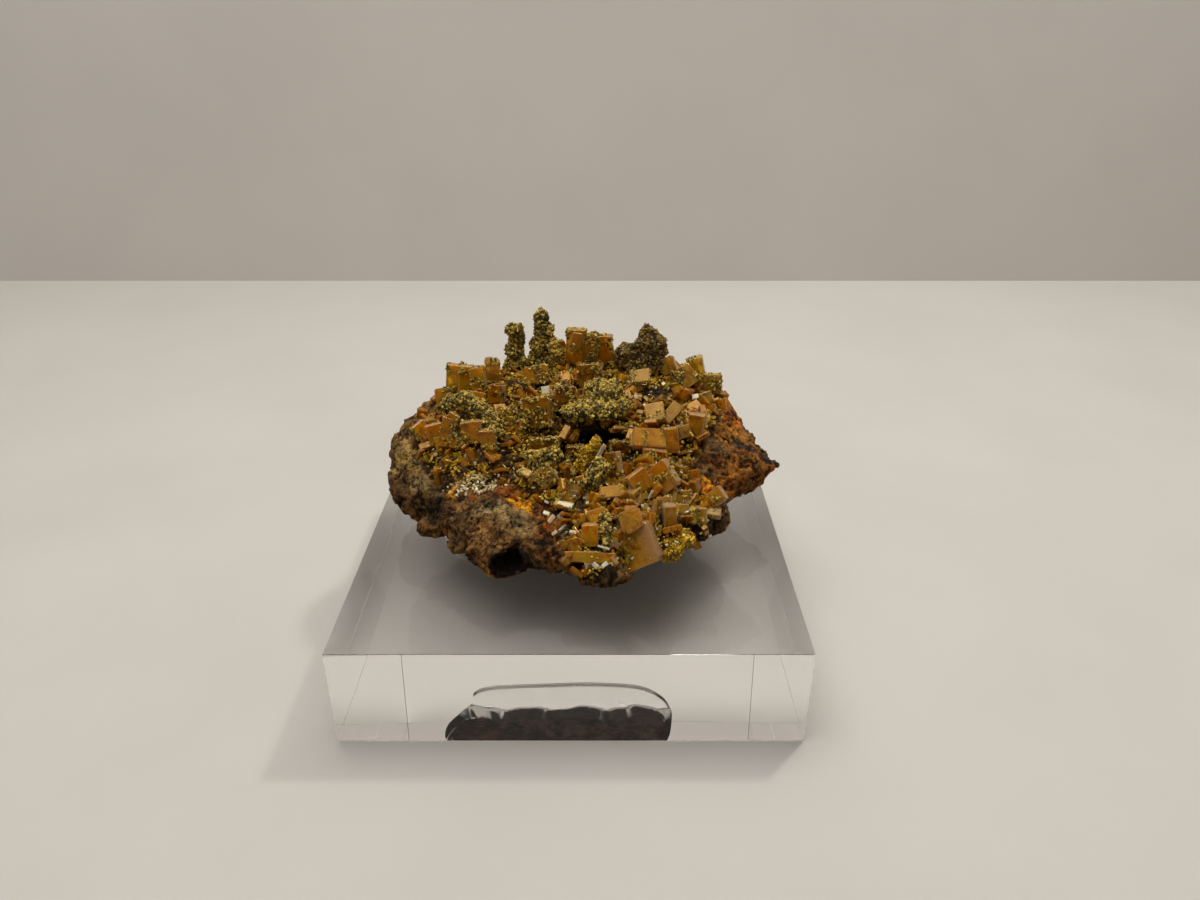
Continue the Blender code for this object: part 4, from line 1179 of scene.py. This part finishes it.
# Lumps that grew together: x, y, z and three radii.
LUMPS = {
    "centre_cap": (
        (3.4, 3.4, 29.0, 2.5, 2.0, 1.5),
        (2.9, 1.3, 27.5, 3.2, 1.8, 1.3),
        (0.4, 1.4, 27.1, 2.3, 1.6, 1.3),
        (5.2, 2.2, 27.3, 1.9, 1.5, 1.3),
        (2.8, 3.8, 26.6, 2.0, 1.6, 2.0),
    ),
    "left_ridge": (
        (-15.2, 3.4, 27.0, 1.5, 1.3, 1.3),
        (-13.4, 3.3, 27.5, 1.6, 1.4, 1.5),
        (-11.6, 2.2, 27.0, 1.6, 1.5, 1.5),
        (-10.4, 1.0, 26.2, 1.4, 1.4, 1.3),
        (-9.6, 0.2, 25.0, 1.2, 1.2, 1.2),
    ),
    "left_spire": (
        (-8.1, 16.2, 27.4, 1.9, 1.7, 1.6),
        (-8.3, 16.2, 29.2, 1.5, 1.3, 1.4),
        (-8.0, 16.3, 30.9, 1.3, 1.2, 1.3),
        (-8.2, 16.3, 32.2, 1.4, 1.2, 1.1),
    ),
    "tall_spire": (
        (-4.6, 16.2, 28.0, 2.3, 1.9, 1.8),
        (-4.4, 16.3, 30.2, 2.0, 1.6, 1.8),
        (-4.2, 16.3, 32.2, 1.6, 1.3, 1.4),
        (-4.7, 16.3, 34.0, 1.1, 1.0, 1.3),
    ),
    "back_lump": (
        (9.0, 13.6, 28.2, 3.6, 2.2, 2.6),
        (9.8, 13.8, 30.8, 2.4, 1.8, 2.2),
        (9.6, 14.0, 32.4, 1.5, 1.3, 1.4),
        (6.8, 13.6, 29.4, 2.1, 1.6, 2.1),
    ),
    "low_left": (
        (-4.4, -4.2, 23.9, 1.4, 1.1, 0.9),
        (-2.6, -4.1, 24.1, 1.4, 1.1, 1.0),
        (-3.6, -4.6, 22.8, 2.0, 0.9, 1.0),
    ),
    "low_centre": (
        (2.3, -7.7, 22.4, 1.3, 1.2, 1.9),
        (3.4, -6.6, 23.4, 1.3, 1.3, 1.5),
    ),
    "stub": (
        (0.9, -4.0, 22.4, 1.1, 0.9, 1.2),
        (1.4, -3.9, 23.5, 1.1, 0.9, 1.1),
        (2.1, -3.8, 24.5, 1.0, 0.9, 1.1),
        (2.7, -3.7, 25.4, 0.9, 0.8, 1.0),
    ),
    "front_ridge": (
        (3.7, -12.6, 20.2, 0.9, 0.9, 1.1),
        (3.8, -13.8, 19.5, 0.8, 0.8, 1.1),
        (4.0, -15.0, 18.9, 0.7, 0.8, 0.9),
    ),
    "front_right": (
        (11.0, -14.4, 17.6, 1.6, 1.4, 1.6),
        (12.4, -13.4, 18.2, 1.5, 1.4, 1.5),
    ),
}
# Lumps that aren't plain olive; the back lump is in the darker copy of the olive, as painted shade.
LUMP_LOOKS = {"front_right": MUSTARD, "stub": MUSTARD, "back_lump": SHADED_OLIVE_GRAINS}
LUMP_CELL = 0.22
# How far a lump's surface rises and falls, and how far it is drawn in, so that its grains keep its size.
LUMP_RISE = 0.4
LUMP_INSET = 0.22


def grains_on_lump(p, normal, index):
    """How much of a lump is grown over: patches, and more of them on top."""
    return 0.45 + 0.55 * smooth(-0.35, 0.15, noise.noise(p * 0.9) + 0.4 * normal.z)


def grainy_lump(name, number, grains):
    """A rough lump of mimetite, covered with its grains."""
    material = LUMP_LOOKS.get(name, OLIVE)
    mesh = in_cells(ball_mesh(LUMPS[name]), LUMP_CELL)
    tone = np.zeros(len(mesh.vertices), dtype=np.float32)
    normals = [v.normal.copy() for v in mesh.vertices]
    for v, normal in zip(mesh.vertices, normals):
        rise = LUMP_RISE * noise.fractal(v.co / MM * 0.8, 0.9, 2.1, 3) - LUMP_INSET
        v.co += normal * rise * MM
        # The core is dark, and darker in its dips: painted shade in the gaps between its grains.
        tone[v.index] = 0.12 + 0.3 * rise
    write_values(mesh, "tone", tone)
    mesh.shade_smooth()
    core = put(name + "_core", mesh, material)
    cover_host(core, grains_on_lump)
    coat = scatter(name + "_grains", core, grains, material, SEED + number, 24.0, 0.13, (0.22, 0.5))
    return joined("grainy_" + name, [core, coat])


# Small crystals and grains on the rock


# The least druse that carries small tablets, and that carries loose grains.
TABLET_GROUND = 0.3
GRAIN_GROUND = 0.2
# Seeds of what is scattered over the rock.
TABLET_SEED = SEED + 40
LOOSE_SEED = SEED + 60
GLINT_SEED = SEED + 70
BAND_SEED = SEED + 71


def open_druse(druse, p, index):
    """How much druse there is at a point, with none in the dark hollow."""
    return druse[index] * (1 - hollow_share(p.x, p.y))


def tablet_cover(druse, number, left_share):
    """Where small tablets of one colour grow: patches that differ by its number, and fewer on the left."""
    offset = Vector((number * 13.0, number * 7.0, number * 3.0))

    def rule(p, normal, index):
        if druse[index] < TABLET_GROUND:
            return 0.0
        side = left_share + (1 - left_share) * smooth(-3.0, 4.0, p.x)
        patch = smooth(-0.25, 0.25, noise.noise(p * 0.35 + offset))
        return open_druse(druse, p, index) * patch * side

    return rule


def grain_cover(druse):
    """Where loose mimetite grains lie: patches of the druse."""

    def rule(p, normal, index):
        if druse[index] < GRAIN_GROUND:
            return 0.0
        return open_druse(druse, p, index) * smooth(0.0, 0.3, noise.noise(p * 0.5 + Vector((1.0, 2.0, 3.0))))

    return rule


def band_cover(p, normal, index):
    """The pale crust: a short slanting band at the front left, on what looks up."""
    along = (p.x + 11.4) / 4.4
    across = (p.y + 6.0 + 0.15 * p.x + 1.7) / 1.3
    return smooth(1.0, 0.5, math.hypot(along, across)) * max(0, normal.z)


# Small tablets by colour: material, slot, how many to a square millimetre, how far apart, their scales, and
# the share of them that grows on the left.
SMALL_TABLETS = (
    ("orange", ORANGE, "wulfenite_orange", 0.5, 0.9, (0.9, 2.2), 0.2),
    ("amber", AMBER, "wulfenite_amber", 0.9, 0.8, (0.7, 1.9), 0.8),
    ("pinkish", TAN, "wulfenite_tan", 0.5, 0.8, (0.8, 2.0), 0.1),
    ("yellow", YELLOW, "wulfenite_amber", 2.6, 0.45, (0.3, 1.1), 1.0),
)


def small_things(rock, druse, chips, grains):
    """Small tablets, loose grains, pale chips as painted glints, and the pale crust, scattered over the rock.
    """
    for number, (label, look, slot, density, apart, sizes, left_share) in enumerate(SMALL_TABLETS):
        cover_host(rock, tablet_cover(druse, number, left_share))
        seed = TABLET_SEED + number
        small = scatter("small_" + label, rock, chips, look, seed, density, apart, sizes, sink=-0.15)
        finish_piece(small, slot)
    cover_host(rock, grain_cover(druse))
    loose = scatter("scattered_grains", rock, grains, MUSTARD, LOOSE_SEED, 7.0, 0.17, (0.2, 0.44), sink=-0.05)
    finish_piece(loose, "mimetite")
    cover_host(rock, lambda p, normal, index: open_druse(druse, p, index))
    # Pale chips over the open druse stand in for its sparkles of light: painted glints.
    glints = scatter("glints", rock, chips, WHITE, GLINT_SEED, 0.4, 0.7, (0.15, 0.5), lean=80, sink=-0.6)
    finish_piece(glints, "wulfenite_tan")
    cover_host(rock, band_cover)
    finish_piece(scatter("crusted_band", rock, grains, CRUST, BAND_SEED, 12.0, 0.2, (0.24, 0.6)), "mimetite")
    rock.data.attributes.remove(rock.data.attributes["cover"])


# Clear gel and block

# Round the gel in plan, counterclockwise from its front.
GEL_OUTLINE = (
    (-4.0, -10.0),
    (4.0, -9.5),
    (10.0, -7.0),
    (12.0, -3.0),
    (12.7, 2.0),
    (12.8, 6.5),
    (11.6, 11.0),
    (8.6, 14.2),
    (2.0, 15.2),
    (-5.0, 14.8),
    (-11.6, 14.2),
    (-14.0, 12.4),
    (-14.0, 9.0),
    (-15.4, 5.6),
    (-16.8, 1.5),
    (-16.5, -3.0),
    (-13.6, -6.0),
    (-9.6, -8.6),
)
GEL_MIDDLE = Vector((-1.8, 2.5))
GEL_STEPS = 6
# Where the gel meets the block, as a share of its outline, its gap there and the thickness of its skirt.
GEL_FOOT = 0.985
GEL_GAP = 0.01
GEL_SKIRT = 0.3
# Its top stays this far under the rock's foot, and is made of rings that draw in by one step each.
GEL_CLEARANCE = 0.1
GEL_RINGS = 51
GEL_STEP = 0.019


def gel_outline(share):
    """The gel's border in plan on a smooth curve, drawn in towards its middle."""
    border = []
    count = len(GEL_OUTLINE)
    for k in range(count * GEL_STEPS):
        index, t = divmod(k / GEL_STEPS, 1)
        a, b, c, d = (Vector(GEL_OUTLINE[(int(index) + step) % count]) for step in (-1, 0, 1, 2))
        bend = (2 * a - 5 * b + 4 * c - d) * t * t
        place = 0.5 * (2 * b + (c - a) * t + bend + (3 * b - a - 3 * c + d) * t**3)
        border.append(GEL_MIDDLE + (place - GEL_MIDDLE) * share)
    return border


def clear_gel():
    """A flattened drop of gel, thick where the rock sits in it and a thin skirt behind."""
    bm = bmesh.new()
    base = BLOCK_HIGH.z / MM + GEL_GAP
    thick = PLATE_FOOT - GEL_CLEARANCE - base
    levels = [(GEL_FOOT, 0.0), (0.997, 0.12), (1.0, 0.4), (1.0, 0.7), (0.995, 0.9)]
    levels += [(GEL_FOOT - GEL_STEP * k, 1.0) for k in range(GEL_RINGS)]
    rings = []
    for share, rise in levels:
        ring = []
        for x, y in gel_outline(share):
            top = GEL_SKIRT + (thick - GEL_SKIRT) * wetted(x, y)
            ring.append(bm.verts.new((x * MM, y * MM, (base + rise * top) * MM)))
        rings.append(ring)
    under = bm.faces.new(reversed(rings[0]))
    under.material_index = 1
    bm.faces.new(rings[-1])
    wall(bm, rings)
    mesh = ended(bm, "clear_gel")
    for polygon in mesh.polygons:
        polygon.use_smooth = polygon.material_index == 0
    return put("clear_gel", mesh, GEL, CONTACT)


BLOCK_BEVEL = 0.03


def clear_block():
    """The block with fine bevels. The patch of its top that the gel wets has a face of its own."""
    bm = bmesh.new()
    bmesh.ops.create_cube(bm, size=MM)
    bmesh.ops.scale(bm, vec=(BLOCK_HIGH - BLOCK_LOW) / MM, verts=bm.verts)
    bmesh.ops.translate(bm, vec=(BLOCK_LOW + BLOCK_HIGH) / 2, verts=bm.verts)
    bmesh.ops.bevel(bm, geom=bm.edges[:], offset=BLOCK_BEVEL * MM, segments=1, affect="EDGES")
    bm.normal_update()
    top = max(bm.faces, key=lambda f: f.calc_center_median().z + f.calc_area())
    border = list(top.edges)
    bmesh.ops.delete(bm, geom=[top], context="FACES_ONLY")
    ring = [bm.verts.new((x * MM, y * MM, BLOCK_HIGH.z)) for x, y in gel_outline(GEL_FOOT)]
    patch = bm.faces.new(ring)
    bmesh.ops.triangle_fill(bm, edges=border + list(patch.edges), use_beauty=True, normal=(0, 0, 1))
    patch.material_index = 1
    bmesh.ops.recalc_face_normals(bm, faces=bm.faces)
    return put("clear_block", ended(bm, "clear_block"), ACRYLIC, CONTACT)


# The scene


def specimen():
    """The block, the gel, the rock and all that grows on it."""
    # The solid is hidden once the finished rock replaces it, so its surface is taken first.
    plate = surface_of(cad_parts["matrix"])
    grains = shapes("grain_shapes", grain_meshes())
    chips = shapes("chip_shapes", chip_meshes())
    finish_piece(clear_block(), "acrylic", "acrylic_block")
    finish_piece(clear_gel(), "gel", "clear_gel_pad")
    rock, druse = rock_piece()
    finish_piece(rock, "ironstone", "matrix")
    for group, (_, slot, _) in GROUP_LOOKS.items():
        finish_piece(group_piece(group, plate, grains), slot, "wulfenite_" + group)
    finish_piece(white_plates(surface_of(rock)), "wulfenite_tan")
    for number, name in enumerate(LUMPS):
        solids = [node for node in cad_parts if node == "mimetite_" + name]
        finish_piece(grainy_lump(name, number, grains), "mimetite", *solids)
    small_things(rock, druse, chips, grains)


floor, backdrop = floor_card(), wall_card()
specimen()
studio()
